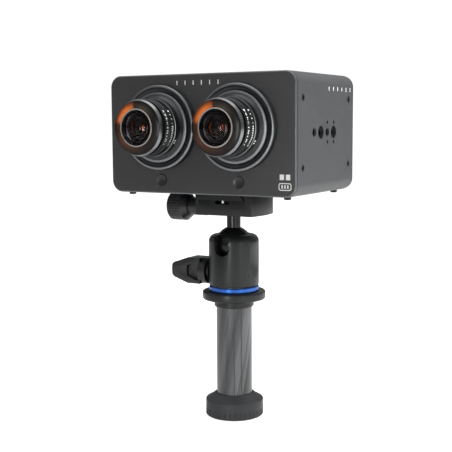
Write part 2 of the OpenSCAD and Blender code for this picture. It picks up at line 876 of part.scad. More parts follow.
module main_board() {
    y0 = y_front + lens_tail + 32;
    color("#1f6b3f") {
        span([-60, y0, z_mid - 30], [60, y0 + 1.6, z_mid + 30]);
        span([-18, y0 - 2, z_mid - 14], [18, y0 + joggle, z_mid + 20]);
        for (x = [-44, 30]) {
            span([x, y0 - 1.4, z_mid - 8], [x + 14, y0 + joggle, z_mid + 8]);
        }
    }
}

module battery() {
    y0 = y_front + lens_tail + 36;
    color("#3b4148") span([-64, y0, z_mid - 27], [8, y0 + 30, z_mid + 27]);
}

module fan_frame() {
    color("#222426") difference() {
        translate([vent_x - fan_w / 2, fan_y - fan_t, vent_z - fan_w / 2]) cube([fan_w, fan_t, fan_w]);
        translate([vent_x, 0, vent_z]) rod_y(fan_y - fan_t + 1.2, fan_y + 1, fan_w / 2 - 1.5);
        for (i = [0:3]) {
            rotate_about_fan(i * 90 + 45) translate([fan_w / 4 + 1.5, fan_y - fan_t + 1, 0]) {
                cube([8, 6, 14], center = true);
            }
        }
    }
}

// Turns a child about the fan's axis
module rotate_about_fan(angle) {
    translate([vent_x, 0, vent_z]) rotate([0, angle, 0]) children();
}

module fan_rotor() {
    blade_n = 7;
    color("#2c2e30") {
        rotate_about_fan(0) rod_y(fan_y - fan_t + 1.6, fan_y - 1, 8);
        for (i = [0:blade_n - 1]) {
            rotate_about_fan(i * 360 / blade_n) translate([12.4, fan_y - fan_t / 2, 0]) rotate([35, 0, 0]) {
                cube([10, 6, 0.9], center = true);
            }
        }
    }
}

// ---------------------------------------------------------------- rear

module rear_panel() {
    edge = 0.5;
    color("#47494b") difference() {
        union() {
            body_slab(0.2, y_rear - rear_t, y_rear - edge);
            body_slab(0.2 + edge, y_rear - edge, y_rear);
        }
        translate([screen_x, y_rear, screen_z]) cube([screen_w + 0.4, 2.4, screen_h + 0.4], center = true);
        translate([key_x, 0, power_z]) rod_y(y_rear - 5, y_rear + 1, power_r + button_gap);
        translate([key_x, 0, record_z]) rod_y(y_rear - 5, y_rear + 1, record_r + button_gap);
        for (i = [0:vent_n - 1]) {
            x = vent_x + (i - (vent_n - 1) / 2) * vent_pitch;
            span([x - vent_w / 2, y_rear - 5, vent_z - vent_l / 2],
                 [x + vent_w / 2, y_rear + 1, vent_z + vent_l / 2]);
        }
        port_holes(y_rear - 5, y_rear + 1);
    }
}

// The sockets' mouths: network, video and power
module port_holes(y0, y1) {
    span([port_x - 21, y0, port_z - 7], [port_x - 5, y1, port_z + 7]);
    span([port_x - 1, y0, port_z - 3], [port_x + 14, y1, port_z + 3]);
    translate([port_x + 21, 0, port_z]) rod_y(y0, y1, 3);
}

module port_block() {
    color("#8d8f91") difference() {
        span([port_x - 23, y_rear - rear_t - 16, port_z - 9], [port_x + 26, y_rear - rear_t, port_z + 9]);
        port_holes(y_rear - rear_t - 14, y_rear);
    }
}

module rear_screen() {
    color("#101214") translate([screen_x, y_rear - 0.6, screen_z]) {
        cube([screen_w, 1.2, screen_h], center = true);
    }
}

module rear_button(r, z) {
    translate([key_x, 0, z]) {
        rod_y(y_rear - 4.5, y_rear + 1, r);
        rod_y(y_rear - 5.5, y_rear - 4, r + 1);
    }
}

module power_button() {
    color("#303234") rear_button(power_r, power_z);
}

module record_button() {
    color("#b3261e") rear_button(record_r, record_z);
}

lock_sleeve();
twist_collar();
pole_tube();
tube_cap();
base_disc();
blue_ring();
head_stud();
pan_washer();
ball_housing();
ball_seat();
lock_lever();
lock_screw();
ball_cup();
ball_stem();
clamp_body();
clamp_bolt();
moving_jaw();
jaw_guide_pins();
clamp_knob();
clamp_screw();
dovetail_plate();
plate_screw();
plate_stops();
feet();
camera_shell();
front_plate();
rear_panel();
side_screws();
side_block();
tripod_bush();
lens_flange(-1);  // lens_flange_left
lens_flange(1);  // lens_flange_right
lens_barrel(-1);  // lens_barrel_left
lens_barrel(1);  // lens_barrel_right
focus_ring(-1);  // focus_ring_left
focus_ring(1);  // focus_ring_right
aperture_ring(-1);  // aperture_ring_left
aperture_ring(1);  // aperture_ring_right
front_bezel(-1);  // front_bezel_left
front_bezel(1);  // front_bezel_right
glass_ring(-1);  // glass_ring_left
glass_ring(1);  // glass_ring_right
front_glass(-1);  // front_glass_left
front_glass(1);  // front_glass_right
lens_group(-1);  // lens_group_left
lens_group(1);  // lens_group_right
image_sensors();
sensor_boards();
chassis();
heat_sink();
main_board();
battery();
fan_frame();
fan_rotor();
release_button(-1);  // release_button_left
release_button(1);  // release_button_right
power_button();
record_button();
rear_screen();
port_block();
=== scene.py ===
"""Looks for a stereo camera on its quick-release clamp, ball head and pole top.

Each sub-assembly is a class that builds its own pieces and dresses its own CAD nodes.
Sizes in the classes are in millimetres, and every finished mesh is in metres.
"""

import json
import logging
import math
from collections.abc import Iterable, Sequence
from dataclasses import dataclass
from enum import Enum
from typing import Any

import bmesh
import bpy
from mathutils import Matrix, Vector


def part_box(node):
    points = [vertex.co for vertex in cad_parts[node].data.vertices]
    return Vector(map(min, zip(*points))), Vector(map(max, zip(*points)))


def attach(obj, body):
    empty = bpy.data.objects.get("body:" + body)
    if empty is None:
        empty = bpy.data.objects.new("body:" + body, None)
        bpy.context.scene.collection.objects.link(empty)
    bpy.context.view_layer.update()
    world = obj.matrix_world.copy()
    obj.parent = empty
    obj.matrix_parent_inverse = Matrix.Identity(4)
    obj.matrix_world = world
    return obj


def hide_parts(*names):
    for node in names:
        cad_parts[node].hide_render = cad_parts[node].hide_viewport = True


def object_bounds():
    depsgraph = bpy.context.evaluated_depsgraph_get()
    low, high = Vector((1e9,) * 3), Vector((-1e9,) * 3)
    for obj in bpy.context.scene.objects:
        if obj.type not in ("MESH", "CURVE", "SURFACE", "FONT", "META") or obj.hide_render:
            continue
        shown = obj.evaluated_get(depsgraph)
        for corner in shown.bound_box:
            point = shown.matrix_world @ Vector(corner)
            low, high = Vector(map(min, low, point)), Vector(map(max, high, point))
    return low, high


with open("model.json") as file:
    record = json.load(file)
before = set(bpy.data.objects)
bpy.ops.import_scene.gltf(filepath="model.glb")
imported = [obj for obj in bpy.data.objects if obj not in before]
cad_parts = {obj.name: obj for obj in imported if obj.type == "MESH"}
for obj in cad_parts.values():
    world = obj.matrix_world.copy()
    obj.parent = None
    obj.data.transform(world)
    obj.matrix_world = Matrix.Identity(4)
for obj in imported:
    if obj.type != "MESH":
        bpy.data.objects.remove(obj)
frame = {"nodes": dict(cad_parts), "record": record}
CAD_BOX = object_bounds()

MM = 0.001
# Corners closer than this are one corner, and faces that turn by less than this are one face.
MERGE_MM = 0.004
FLAT_DEG = 1.0
# A plate's cut rim: how deep it reaches, as a share of its radius, and how far its faces look along Y.
RIM_DEPTH = 0.75
STEEPEST, FLATTEST = 0.15, 0.97
LOG = logging.getLogger("stereo_camera")

# Every finish has soft clouds in its colour and shine, about 20 mm wide.
CLOUDS_PER_M = 45.0
CLOUD_SHARE = 0.8
# The sum of grain and clouds at which a finish is at its darkest and at its lightest.
DARKEST, LIGHTEST = 0.55, 1.25
ROUGHNESS_SPREAD = 0.1
COAT_ROUGHNESS = 0.08


# ------------------------------------------------------------------ small tools


def linear(colour: str) -> tuple[float, float, float, float]:
    """Turns an sRGB hex colour to linear light.

    Args:
        colour: The colour as "#rrggbb".

    Returns:
        Red, green and blue in linear light, and an alpha of 1.
    """
    shares = [int(colour[i : i + 2], 16) / 255 for i in (1, 3, 5)]
    return (*[c / 12.92 if c <= 0.04045 else ((c + 0.055) / 1.055) ** 2.4 for c in shares], 1.0)


def add(
    tree: bpy.types.NodeTree, kind: str, inputs: dict[Any, Any] | None = None, **settings: Any
) -> bpy.types.Node:
    """Adds one node with its settings and links.

    Args:
        tree: The tree that takes the node.
        kind: The node's type name.
        inputs: A value, or an output socket to link, for each input name or number.
        **settings: The node's own properties. "ramp" holds the stops of a colour ramp.

    Returns:
        The new node.
    """
    node = tree.nodes.new(kind)
    stops = settings.pop("ramp", None)
    for key, value in settings.items():
        setattr(node, key, value)
    if stops is not None:
        elements = node.color_ramp.elements
        while len(elements) < len(stops):
            elements.new(1.0)
        for element, (position, colour) in zip(elements, stops):
            element.position = position
            element.color = colour if isinstance(colour, tuple) else (colour, colour, colour, 1.0)
    for key, value in (inputs or {}).items():
        if isinstance(value, bpy.types.NodeSocket):
            tree.links.new(value, node.inputs[key])
        else:
            node.inputs[key].default_value = value
    return node


def centre_of(node: str) -> Vector:
    """The middle of a CAD node's box, in metres."""
    low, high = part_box(node)
    return (low + high) / 2


# ------------------------------------------------------------------ finishes


class Axis(Enum):
    """The direction that a turned piece was turned about."""

    X = 0
    Y = 1
    Z = 2


@dataclass(frozen=True)
class Finish:
    """A finish with a fine grain: a little colour change, uneven roughness and a shallow relief.

    Args:
        name: The material's name, as material and process.
        colour: Its colour as sRGB hex.
        roughness: Its mean roughness.
        metallic: 1 for bare metal, and less for a dyed oxide layer over metal.
        coat: Weight of a clear coat.
        grain_mm: Width of one grain.
        relief_mm: Height of the grain.
        mottle: How much the colour changes from place to place, as a share.
        specular: Strength of the shine on the part that isn't bare metal.
    """

    name: str
    colour: str
    roughness: float
    metallic: float = 0.0
    coat: float = 0.0
    grain_mm: float = 0.5
    relief_mm: float = 0.006
    mottle: float = 0.12
    specular: float = 0.5

    def material(self) -> bpy.types.Material:
        """Makes the material, or finds it if it is made already.

        Returns:
            The node-based material.
        """
        found = bpy.data.materials.get(self.name)
        if found is not None:
            return found
        material = bpy.data.materials.new(self.name)
        material.use_nodes = True
        tree = material.node_tree
        tree.nodes.clear()
        shader = self.surface(tree, add(tree, "ShaderNodeTexCoord").outputs["Object"])
        add(tree, "ShaderNodeOutputMaterial", {"Surface": shader.outputs[0]})
        return material

    def surface(self, tree: bpy.types.NodeTree, place: bpy.types.NodeSocket) -> bpy.types.Node:
        """Builds the shader.

        Args:
            tree: The material's tree.
            place: The socket that gives the place on the piece, in metres.

        Returns:
            The node whose first output is the surface.
        """
        height = self.height(tree, place)
        broad = add(
            tree,
            "ShaderNodeTexNoise",
            {"Vector": place, "Scale": CLOUDS_PER_M, "Detail": 3.0, "Roughness": 0.6},
        )
        clouds = add(tree, "ShaderNodeMath", {0: broad.outputs[0], 1: CLOUD_SHARE}, operation="MULTIPLY")
        both = add(tree, "ShaderNodeMath", {0: height, 1: clouds.outputs[0]}, operation="ADD").outputs[0]
        share = add(
            tree,
            "ShaderNodeMapRange",
            {"Value": both, 1: DARKEST, 2: LIGHTEST, 3: 1 - self.mottle, 4: 1 + self.mottle},
        ).outputs[0]
        tone = add(
            tree, "ShaderNodeVectorMath", {0: self.tint(tree, place), "Scale": share}, operation="SCALE"
        ).outputs[0]
        smoothest = self.roughness * (1 - ROUGHNESS_SPREAD)
        roughest = min(1.0, self.roughness * (1 + ROUGHNESS_SPREAD))
        rough = add(
            tree,
            "ShaderNodeMapRange",
            {"Value": both, 1: DARKEST, 2: LIGHTEST, 3: smoothest, 4: roughest},
        ).outputs[0]
        bump = add(
            tree, "ShaderNodeBump", {"Height": height, "Distance": self.relief_mm * MM, "Strength": 1.0}
        ).outputs[0]
        return add(
            tree,
            "ShaderNodeBsdfPrincipled",
            {
                "Base Color": tone,
                "Roughness": rough,
                "Metallic": self.metallic,
                "Coat Weight": self.coat,
                "Coat Roughness": COAT_ROUGHNESS,
                "Specular IOR Level": self.specular,
                "Normal": bump,
            },
        )

    def tint(self, tree: bpy.types.NodeTree, place: bpy.types.NodeSocket) -> bpy.types.NodeSocket:
        """The colour before the grain, as a socket."""
        return add(tree, "ShaderNodeMix", {0: 0.0, 6: linear(self.colour)}, data_type="RGBA").outputs[2]

    def height(self, tree: bpy.types.NodeTree, place: bpy.types.NodeSocket) -> bpy.types.NodeSocket:
        """The relief, from 0 to 1, as a socket."""
        return add(
            tree, "ShaderNodeTexNoise", {"Vector": place, "Scale": 1 / (self.grain_mm * MM), "Detail": 2.0}
        ).outputs[0]


@dataclass(frozen=True)
class TurnedFinish(Finish):
    """Metal with the fine rings that a lathe leaves, so that its highlights spread across them.

    Args:
        axis: The axis that it was turned about.
        centre: A point on that axis, in metres.
    """

    axis: Axis = Axis.Z
    centre: tuple[float, float, float] = (0.0, 0.0, 0.0)

    def height(self, tree: bpy.types.NodeTree, place: bpy.types.NodeSocket) -> bpy.types.NodeSocket:
        """The relief: noise that changes along the axis and along the radius, but not round it.

        Args:
            tree: The material's tree.
            place: The socket that gives the place on the piece, in metres.

        Returns:
            The relief, from 0 to 1, as a socket.
        """
        from_centre = {0: place, 1: self.centre}
        offset = add(tree, "ShaderNodeVectorMath", from_centre, operation="SUBTRACT").outputs[0]
        flat = tuple(0.0 if side == self.axis.value else 1.0 for side in range(3))
        across = add(tree, "ShaderNodeVectorMath", {0: offset, 1: flat}, operation="MULTIPLY").outputs[0]
        radius = add(tree, "ShaderNodeVectorMath", {0: across}, operation="LENGTH").outputs["Value"]
        along = add(tree, "ShaderNodeSeparateXYZ", {0: offset}).outputs[self.axis.value]
        line = add(tree, "ShaderNodeMath", {0: radius, 1: along}, operation="ADD").outputs[0]
        return add(
            tree,
            "ShaderNodeTexNoise",
            {"W": line, "Scale": 1 / (self.grain_mm * MM), "Detail": 3.0},
            noise_dimensions="1D",
        ).outputs[0]


@dataclass(frozen=True)
class CarbonWrapFinish(Finish):
    """Clear-coated carbon tube: tapes of straight fibre wound on a slant, with a painted sheen on the lighter
    tapes that stands in for their slanted reflections, and painted light and shade along its channel.

    Args:
        tape_mm: Width of one tape.
        slant_deg: The tape's angle from the tube's axis.
        radius_mm: The tube's radius.
        light: The painted sheen colour of the lighter tapes.
        share: The values of the tape noise between which a tape goes from dark to light.
        channel_mm: Width of the flat channel along the tube.
        channel_deg: Where the channel lies, from -Y towards +X.
        channel_light_and_shade: Painted light and shade across half the channel and its edge line, each with
            its share of the width: lighter on the channel's flat, and a painted shade line at its edge.
    """

    tape_mm: float = 9.0
    slant_deg: float = 12.0
    radius_mm: float = 14.0
    light: str = "#404244"
    share: tuple[float, float] = (0.38, 0.64)
    channel_mm: float = 5.8
    channel_deg: float = 41.0
    channel_light_and_shade: tuple[tuple[float, float], ...] = (
        (0.0, 1.3),
        (0.4, 1.25),
        (0.44, 0.3),
        (0.53, 0.3),
        (0.58, 1.0),
        (1.0, 1.0),
    )

    def turn_round(self, tree: bpy.types.NodeTree, place: bpy.types.NodeSocket) -> bpy.types.NodeSocket:
        """The direction from the tube's axis, in radians, as a socket."""
        parts = add(tree, "ShaderNodeSeparateXYZ", {0: place}).outputs
        return add(tree, "ShaderNodeMath", {0: parts[0], 1: parts[1]}, operation="ARCTAN2").outputs[0]

    def across_tapes(self, tree: bpy.types.NodeTree, place: bpy.types.NodeSocket) -> bpy.types.NodeSocket:
        """The distance across the tapes, measured round the tube.

        Args:
            tree: The material's tree.
            place: The socket that gives the place on the tube, in metres.

        Returns:
            The distance in metres, as a socket.
        """
        turn = self.turn_round(tree, place)
        rise = add(tree, "ShaderNodeSeparateXYZ", {0: place}).outputs[2]
        slant = math.radians(self.slant_deg)
        reach = self.radius_mm * MM * math.cos(slant)
        rounded = add(tree, "ShaderNodeMath", {0: turn, 1: reach}, operation="MULTIPLY").outputs[0]
        risen = add(tree, "ShaderNodeMath", {0: rise, 1: math.sin(slant)}, operation="MULTIPLY").outputs[0]
        return add(tree, "ShaderNodeMath", {0: rounded, 1: risen}, operation="ADD").outputs[0]

    def tint(self, tree: bpy.types.NodeTree, place: bpy.types.NodeSocket) -> bpy.types.NodeSocket:
        """Light and dark tapes with a painted sheen, and the channel along the tube, painted lighter on its
        flat with a painted shade line at each edge.

        Args:
            tree: The material's tree.
            place: The socket that gives the place on the tube, in metres.

        Returns:
            The colour, as a socket.
        """
        line = self.across_tapes(tree, place)
        tapes = add(
            tree,
            "ShaderNodeTexNoise",
            {"W": line, "Scale": 1 / (self.tape_mm * MM), "Detail": 4.0, "Roughness": 0.55},
            noise_dimensions="1D",
        ).outputs[0]
        # Painted sheen: the lighter tapes stand in for the fibres' slanted reflections.
        tape_sheen = add(
            tree, "ShaderNodeMapRange", {"Value": tapes, 1: self.share[0], 2: self.share[1]}
        ).outputs[0]
        wrap = add(
            tree,
            "ShaderNodeMix",
            {0: tape_sheen, 6: linear(self.colour), 7: linear(self.light)},
            data_type="RGBA",
        ).outputs[2]
        middle = math.pi - math.radians(self.channel_deg)
        away = add(
            tree, "ShaderNodeMath", {0: self.turn_round(tree, place), 1: middle}, operation="SUBTRACT"
        ).outputs[0]
        side = add(tree, "ShaderNodeMath", {0: away}, operation="ABSOLUTE").outputs[0]
        width = self.channel_mm / self.radius_mm
        across = add(tree, "ShaderNodeMath", {0: side, 1: width}, operation="DIVIDE").outputs[0]
        # Painted light and shade: the channel's flat is lighter, and a dark shade line runs along each edge.
        channel_shading = add(tree, "ShaderNodeValToRGB", {0: across}, ramp=self.channel_light_and_shade).outputs[0]
        return add(tree, "ShaderNodeVectorMath", {0: wrap, 1: channel_shading}, operation="MULTIPLY").outputs[0]

    def height(self, tree: bpy.types.NodeTree, place: bpy.types.NodeSocket) -> bpy.types.NodeSocket:
        """The fibres' own fine lines, drawn coarser than real fibres so that they show."""
        return add(
            tree,
            "ShaderNodeTexNoise",
            {"W": self.across_tapes(tree, place), "Scale": 1 / (self.grain_mm * MM), "Detail": 2.0},
            noise_dimensions="1D",
        ).outputs[0]


@dataclass(frozen=True)
class PaintedReflectionFinish(Finish):
    """Polished dark rim of a multi-coated front element, with painted reflections: colours painted round the
    rim stand in for the coloured mirror images in its coating.

    Args:
        centre: The lens axis, in metres.
        stops: Painted reflection colours round the rim, each with its share of a turn from +X, anticlockwise
            from the front.
        fade_mm: The radius up to which the colours are full, and the radius at which they are nearly black.
        faded: What is left of the colours past that second radius, as a share.
    """

    centre: tuple[float, float, float] = (0.0, 0.0, 0.0)
    stops: tuple[tuple[float, str], ...] = ()
    fade_mm: tuple[float, float] = (30.0, 31.0)
    faded: float = 0.12

    def tint(self, tree: bpy.types.NodeTree, place: bpy.types.NodeSocket) -> bpy.types.NodeSocket:
        """The painted reflection colour at each direction from the lens axis.

        Args:
            tree: The material's tree.
            place: The socket that gives the place on the piece, in metres.

        Returns:
            The colour, as a socket.
        """
        from_centre = {0: place, 1: self.centre}
        offset = add(tree, "ShaderNodeVectorMath", from_centre, operation="SUBTRACT").outputs[0]
        parts = add(tree, "ShaderNodeSeparateXYZ", {0: offset}).outputs
        turn = add(tree, "ShaderNodeMath", {0: parts[2], 1: parts[0]}, operation="ARCTAN2").outputs[0]
        share = add(
            tree, "ShaderNodeMapRange", {"Value": turn, 1: -math.pi, 2: math.pi, 3: -0.5, 4: 0.5}
        ).outputs[0]
        whole = add(tree, "ShaderNodeMath", {0: share}, operation="FRACT").outputs[0]
        ramp = [(position, linear(colour)) for position, colour in self.stops]
        full = add(tree, "ShaderNodeValToRGB", {0: whole}, ramp=ramp).outputs[0]
        flat = add(
            tree, "ShaderNodeVectorMath", {0: offset, 1: (1.0, 0.0, 1.0)}, operation="MULTIPLY"
        ).outputs[0]
        radius = add(tree, "ShaderNodeVectorMath", {0: flat}, operation="LENGTH").outputs["Value"]
        first, last = (radius_mm * MM for radius_mm in self.fade_mm)
        strength = add(
            tree, "ShaderNodeMapRange", {"Value": radius, 1: first, 2: last, 3: 1.0, 4: self.faded}
        ).outputs[0]
        return add(tree, "ShaderNodeVectorMath", {0: full, "Scale": strength}, operation="SCALE").outputs[0]


@dataclass(frozen=True)
class ClearGlassFinish(Finish):
    """Coated optical glass: most light goes straight through, and a little is mirrored, more at a slant.

    Args:
        mirrored: The tint of the mirror image, as sRGB hex.
        coated_ior: The index that gives the coated surface's weak reflection.
    """

    mirrored: str = "#bcb8c5"
    coated_ior: float = 1.2

    def surface(self, tree: bpy.types.NodeTree, place: bpy.types.NodeSocket) -> bpy.types.Node:
        """A clear shader and a mirror, mixed by the glass's own reflectance. Faint dust dulls the mirror.

        Args:
            tree: The material's tree.
            place: The socket that gives the place on the piece, in metres.

        Returns:
            The node whose first output is the surface.
        """
        dust = add(
            tree,
            "ShaderNodeMapRange",
            {"Value": self.height(tree, place), 1: 0.4, 2: 0.8, 3: self.roughness, 4: self.roughness * 2},
        ).outputs[0]
        clear = add(tree, "ShaderNodeBsdfTransparent", {"Color": linear(self.colour)})
        mirror = add(
            tree,
            "ShaderNodeBsdfPrincipled",
            {"Base Color": linear(self.mirrored), "Metallic": 1.0, "Roughness": dust},
        )
        share = add(tree, "ShaderNodeFresnel", {"IOR": self.coated_ior}).outputs[0]
        return add(tree, "ShaderNodeMixShader", {0: share, 1: clear.outputs[0], 2: mirror.outputs[0]})


# Aluminium blasted with fine beads and dyed in the anodising bath: matt, with a faint sparkle.
CASE = Finish(
    "anodised_aluminium_bead_blasted_case", "#3a3b3c", 0.46, metallic=0.3, grain_mm=0.7, relief_mm=0.012
)
FACE = Finish(
    "anodised_aluminium_bead_blasted_face", "#272728", 0.5, metallic=0.2, grain_mm=0.7, relief_mm=0.012
)
# The rounded rim of each plate is cut after blasting, so that it draws a thin light line.
PLATE_RIM = Finish(
    "anodised_aluminium_cut_rim", "#5c5d5f", 0.34, metallic=0.7, grain_mm=0.4, relief_mm=0.003
)
# Aluminium machined and dyed black: satin, so that curved pieces show long soft highlights.
SATIN = Finish(
    "anodised_aluminium_satin_black", "#141516", 0.32, metallic=0.3, grain_mm=0.35, relief_mm=0.004
)
# Polished before dyeing: the ball's neck shows one narrow, crisp highlight.
POLISHED = Finish(
    "anodised_aluminium_polished_black", "#0e0f10", 0.22, metallic=0.35, grain_mm=0.35, relief_mm=0.002
)
# Fine black anodising on the rings that are turned by hand, so that white figures stand out on it.
SCALE_BLACK = Finish(
    "anodised_aluminium_fine_black", "#0c0d0e", 0.36, metallic=0.2, grain_mm=0.3, relief_mm=0.003
)
# Bright-dipped before dyeing, so that the metal under the blue dye still mirrors.
BLUE = Finish(
    "anodised_aluminium_bright_blue", "#2b5cab", 0.26, metallic=0.9, coat=0.2, grain_mm=0.4, relief_mm=0.002
)
# Zinc over cold-headed steel: pale and metallic, a little clouded.
STEEL = Finish("steel_zinc_plated", "#a9abad", 0.32, metallic=1.0, grain_mm=0.5, relief_mm=0.004)
# Oil-blackened steel: dark, with a dull metal shine on the screw heads.
BLACK_STEEL = Finish("steel_black_oxide", "#2b2c2d", 0.4, metallic=0.8, grain_mm=0.3, relief_mm=0.004)
# Cut and left bare: grey metal with soft, broad reflections.
MILLED = Finish("aluminium_milled_bare", "#8f9193", 0.4, metallic=1.0, grain_mm=0.6, relief_mm=0.005)
# Milled and then dyed black, so that the threads read as fine glints in a dark hole.
SOCKET = Finish(
    "anodised_aluminium_milled_black", "#1d1e1f", 0.35, metallic=0.6, grain_mm=0.4, relief_mm=0.004
)
# Bearing bronze off the lathe: warm brown metal.
BRONZE = Finish("bronze_turned", "#a9824a", 0.35, metallic=1.0)
# Thin gold over nickel: small yellow glints in the dark sockets.
GOLD = Finish("contact_gold_plated", "#d2a94e", 0.25, metallic=1.0)
# Glass-filled polyamide: its moulded skin is dull, with a little orange peel.
GRIP = Finish("polyamide_moulded_black", "#17181a", 0.45, grain_mm=0.6, relief_mm=0.012)
# A finer tool surface on the parts turned by hand, so that their edges shine.
KNOB = Finish("polyamide_moulded_knob", "#141517", 0.34, grain_mm=0.5, relief_mm=0.008)
# Moulded keys: blacker and smoother than the plate round them.
KEY = Finish("plastic_moulded_satin_key", "#101112", 0.38, grain_mm=0.5, relief_mm=0.008)
# Gloss-moulded in red, so that the recording key stands out.
RED = Finish("plastic_moulded_gloss_red", "#a8261c", 0.25, coat=0.4)
# Moulded rubber: no shine at all.
RUBBER = Finish("rubber_moulded_foot", "#151616", 0.7, grain_mm=0.4, relief_mm=0.02)
# Undyed nylon: warm white and waxy.
NYLON = Finish("nylon_turned_natural", "#d6d3c8", 0.45)
# Green solder mask, which is a thin gloss lacquer.
BOARD = Finish("epoxy_board_green_mask", "#1f5f3c", 0.35, coat=0.3)
# Silicon seen through flat glass: dark green-grey with a sharp reflection.
SENSOR = Finish("silicon_under_cover_glass", "#33463f", 0.12, coat=0.6)
# Shrunk film: grey, with soft wrinkles in its shine.
WRAP = Finish("battery_shrink_wrap_grey", "#3a4046", 0.4, grain_mm=1.2)
# Cover glass over a dark display: black, with a clear mirror image.
SCREEN = Finish("cover_glass_black", "#08090a", 0.07, coat=0.8, grain_mm=1.5, relief_mm=0.0005)
# Folded sheet, nickel plated: bright edges round each socket.
NICKEL = Finish("nickel_plated_shell", "#9a9c9e", 0.3, metallic=1.0)
# Ink printed on the anodised plate: flat, slightly grey white.
PRINT = Finish("screen_printed_white_ink", "#b4b4b2", 0.6, grain_mm=0.25, relief_mm=0.004)
# Paint wiped into engraved figures: a cleaner white than the printed ink.
FILLED = Finish("engraving_filled_white_paint", "#ececea", 0.5, grain_mm=0.25, relief_mm=0.004)
# Blackened against stray light, so that the inside of the lens stays almost black.
DARK_CELL = Finish("aluminium_blackened_cell", "#080707", 0.6, grain_mm=0.3, specular=0.15)
# Coated front element: mostly clear, with faint violet-grey mirror images near its edge.
CLEAR = ClearGlassFinish("optical_glass_coated", "#d8d4d0", 0.02, grain_mm=0.6)
# Wound carbon tape under a clear coat: slanted grey streaks of painted sheen, and one channel down the tube
# with painted light and shade.
CARBON = CarbonWrapFinish(
    "carbon_tube_clear_coated", "#0c0d0e", 0.3, coat=0.5, grain_mm=0.4, relief_mm=0.004, mottle=0.08
)

DRESS: dict[Finish, tuple[str, ...]] = {
    CASE: ("camera_shell",),
    SATIN: ("tube_cap", "base_disc", "ball_housing", "clamp_body", "moving_jaw", "dovetail_plate"),
    POLISHED: ("ball_stem",),
    BLUE: ("blue_ring",),
    STEEL: (
        "head_stud",
        "lock_screw",
        "clamp_bolt",
        "clamp_screw",
        "jaw_guide_pins",
        "plate_screw",
        "plate_stops",
        "tripod_bush",
    ),
    BLACK_STEEL: ("side_screws",),
    MILLED: ("chassis", "heat_sink"),
    SOCKET: ("side_block",),
    BRONZE: ("ball_cup",),
    GRIP: ("twist_collar", "lock_sleeve", "fan_frame", "fan_rotor"),
    KNOB: ("clamp_knob", "lock_lever"),
    KEY: ("release_button_left", "release_button_right", "power_button"),
    RED: ("record_button",),
    RUBBER: ("feet",),
    NYLON: ("ball_seat", "pan_washer"),
    BOARD: ("sensor_boards", "main_board"),
    SENSOR: ("image_sensors",),
    WRAP: ("battery",),
    SCREEN: ("rear_screen",),
    NICKEL: ("port_block",),
    CARBON: ("pole_tube",),
    DARK_CELL: ("lens_group_left", "lens_group_right"),
}


# ------------------------------------------------------------------ making pieces


def dress(node: str, finish: Finish) -> None:
    """Gives a CAD node its finish.

    Args:
        node: The CAD node's name.
        finish: The finish that every slot of it takes.
    """
    mesh = frame["nodes"][node].data
    mesh.materials.clear()
    mesh.materials.append(finish.material())


def piece(
    name: str,
    mesh: bpy.types.Mesh,
    body: str,
    finish: Finish | None = None,
    replaces: Sequence[str] = (),
    sharp_deg: float = 35.0,
) -> bpy.types.Object:
    """Puts a finished mesh in the scene and lets it ride on its body.

    Args:
        name: The piece's name.
        mesh: Its mesh, in metres, in the row frame.
        body: The CAD body that it rides on.
        finish: Its finish, or None if the mesh has its materials already.
        replaces: CAD nodes that it stands for.
        sharp_deg: Edges that turn by more than this stay sharp.

    Returns:
        The new object.
    """
    mesh.name = name
    if finish is not None:
        mesh.materials.clear()
        mesh.materials.append(finish.material())
    mesh.shade_smooth()
    mesh.set_sharp_from_angle(angle=math.radians(sharp_deg))
    made = bpy.data.objects.new(name, mesh)
    bpy.context.scene.collection.objects.link(made)
    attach(made, body)
    if replaces:
        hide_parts(*replaces)
    LOG.info("%s: %d faces on %s", name, len(mesh.polygons), body)
    return made


def baked(holder: bpy.types.Object) -> bpy.types.Mesh:
    """Turns an object with modifiers into a plain mesh and removes the object.

    Args:
        holder: The object, already linked to the scene.

    Returns:
        The mesh after its modifiers.
    """
    graph = bpy.context.evaluated_depsgraph_get()
    mesh = bpy.data.meshes.new_from_object(holder.evaluated_get(graph))
    bpy.data.objects.remove(holder)
    return mesh


def held(mesh: bpy.types.Mesh) -> bpy.types.Object:
    """Links a mesh to the scene in a temporary object.

    Args:
        mesh: The mesh.

    Returns:
        The object, which baked() removes.
    """
    holder = bpy.data.objects.new("holder", mesh)
    bpy.context.scene.collection.objects.link(holder)
    return holder


def mesh_of(work: bmesh.types.BMesh) -> bpy.types.Mesh:
    """Closes a bmesh into a new mesh with its faces outwards.

    Args:
        work: The bmesh, which is freed.

    Returns:
        The new mesh.
    """
    bmesh.ops.recalc_face_normals(work, faces=work.faces)
    mesh = bpy.data.meshes.new("made")
    work.to_mesh(mesh)
    work.free()
    return mesh


def softened(node: str, width_mm: float, angle_deg: float = 30.0, segments: int = 3) -> bpy.types.Mesh:
    """Copies a CAD node's shape and rounds its edges as real ones are broken.

    Args:
        node: The CAD node.
        width_mm: Width of the rounding.
        angle_deg: Edges that turn by more than this are rounded.
        segments: Steps in the rounding.

    Returns:
        The new mesh.
    """
    work = bmesh.new()
    work.from_mesh(frame["nodes"][node].data)
    bmesh.ops.remove_doubles(work, verts=work.verts, dist=MERGE_MM * MM)
    bmesh.ops.dissolve_limit(work, angle_limit=math.radians(FLAT_DEG), verts=work.verts, edges=work.edges)
    holder = held(mesh_of(work))
    bevel = holder.modifiers.new("rounding", "BEVEL")
    bevel.width = width_mm * MM
    bevel.segments = segments
    bevel.limit_method = "ANGLE"
    bevel.angle_limit = math.radians(angle_deg)
    bevel.use_clamp_overlap = True
    return baked(holder)


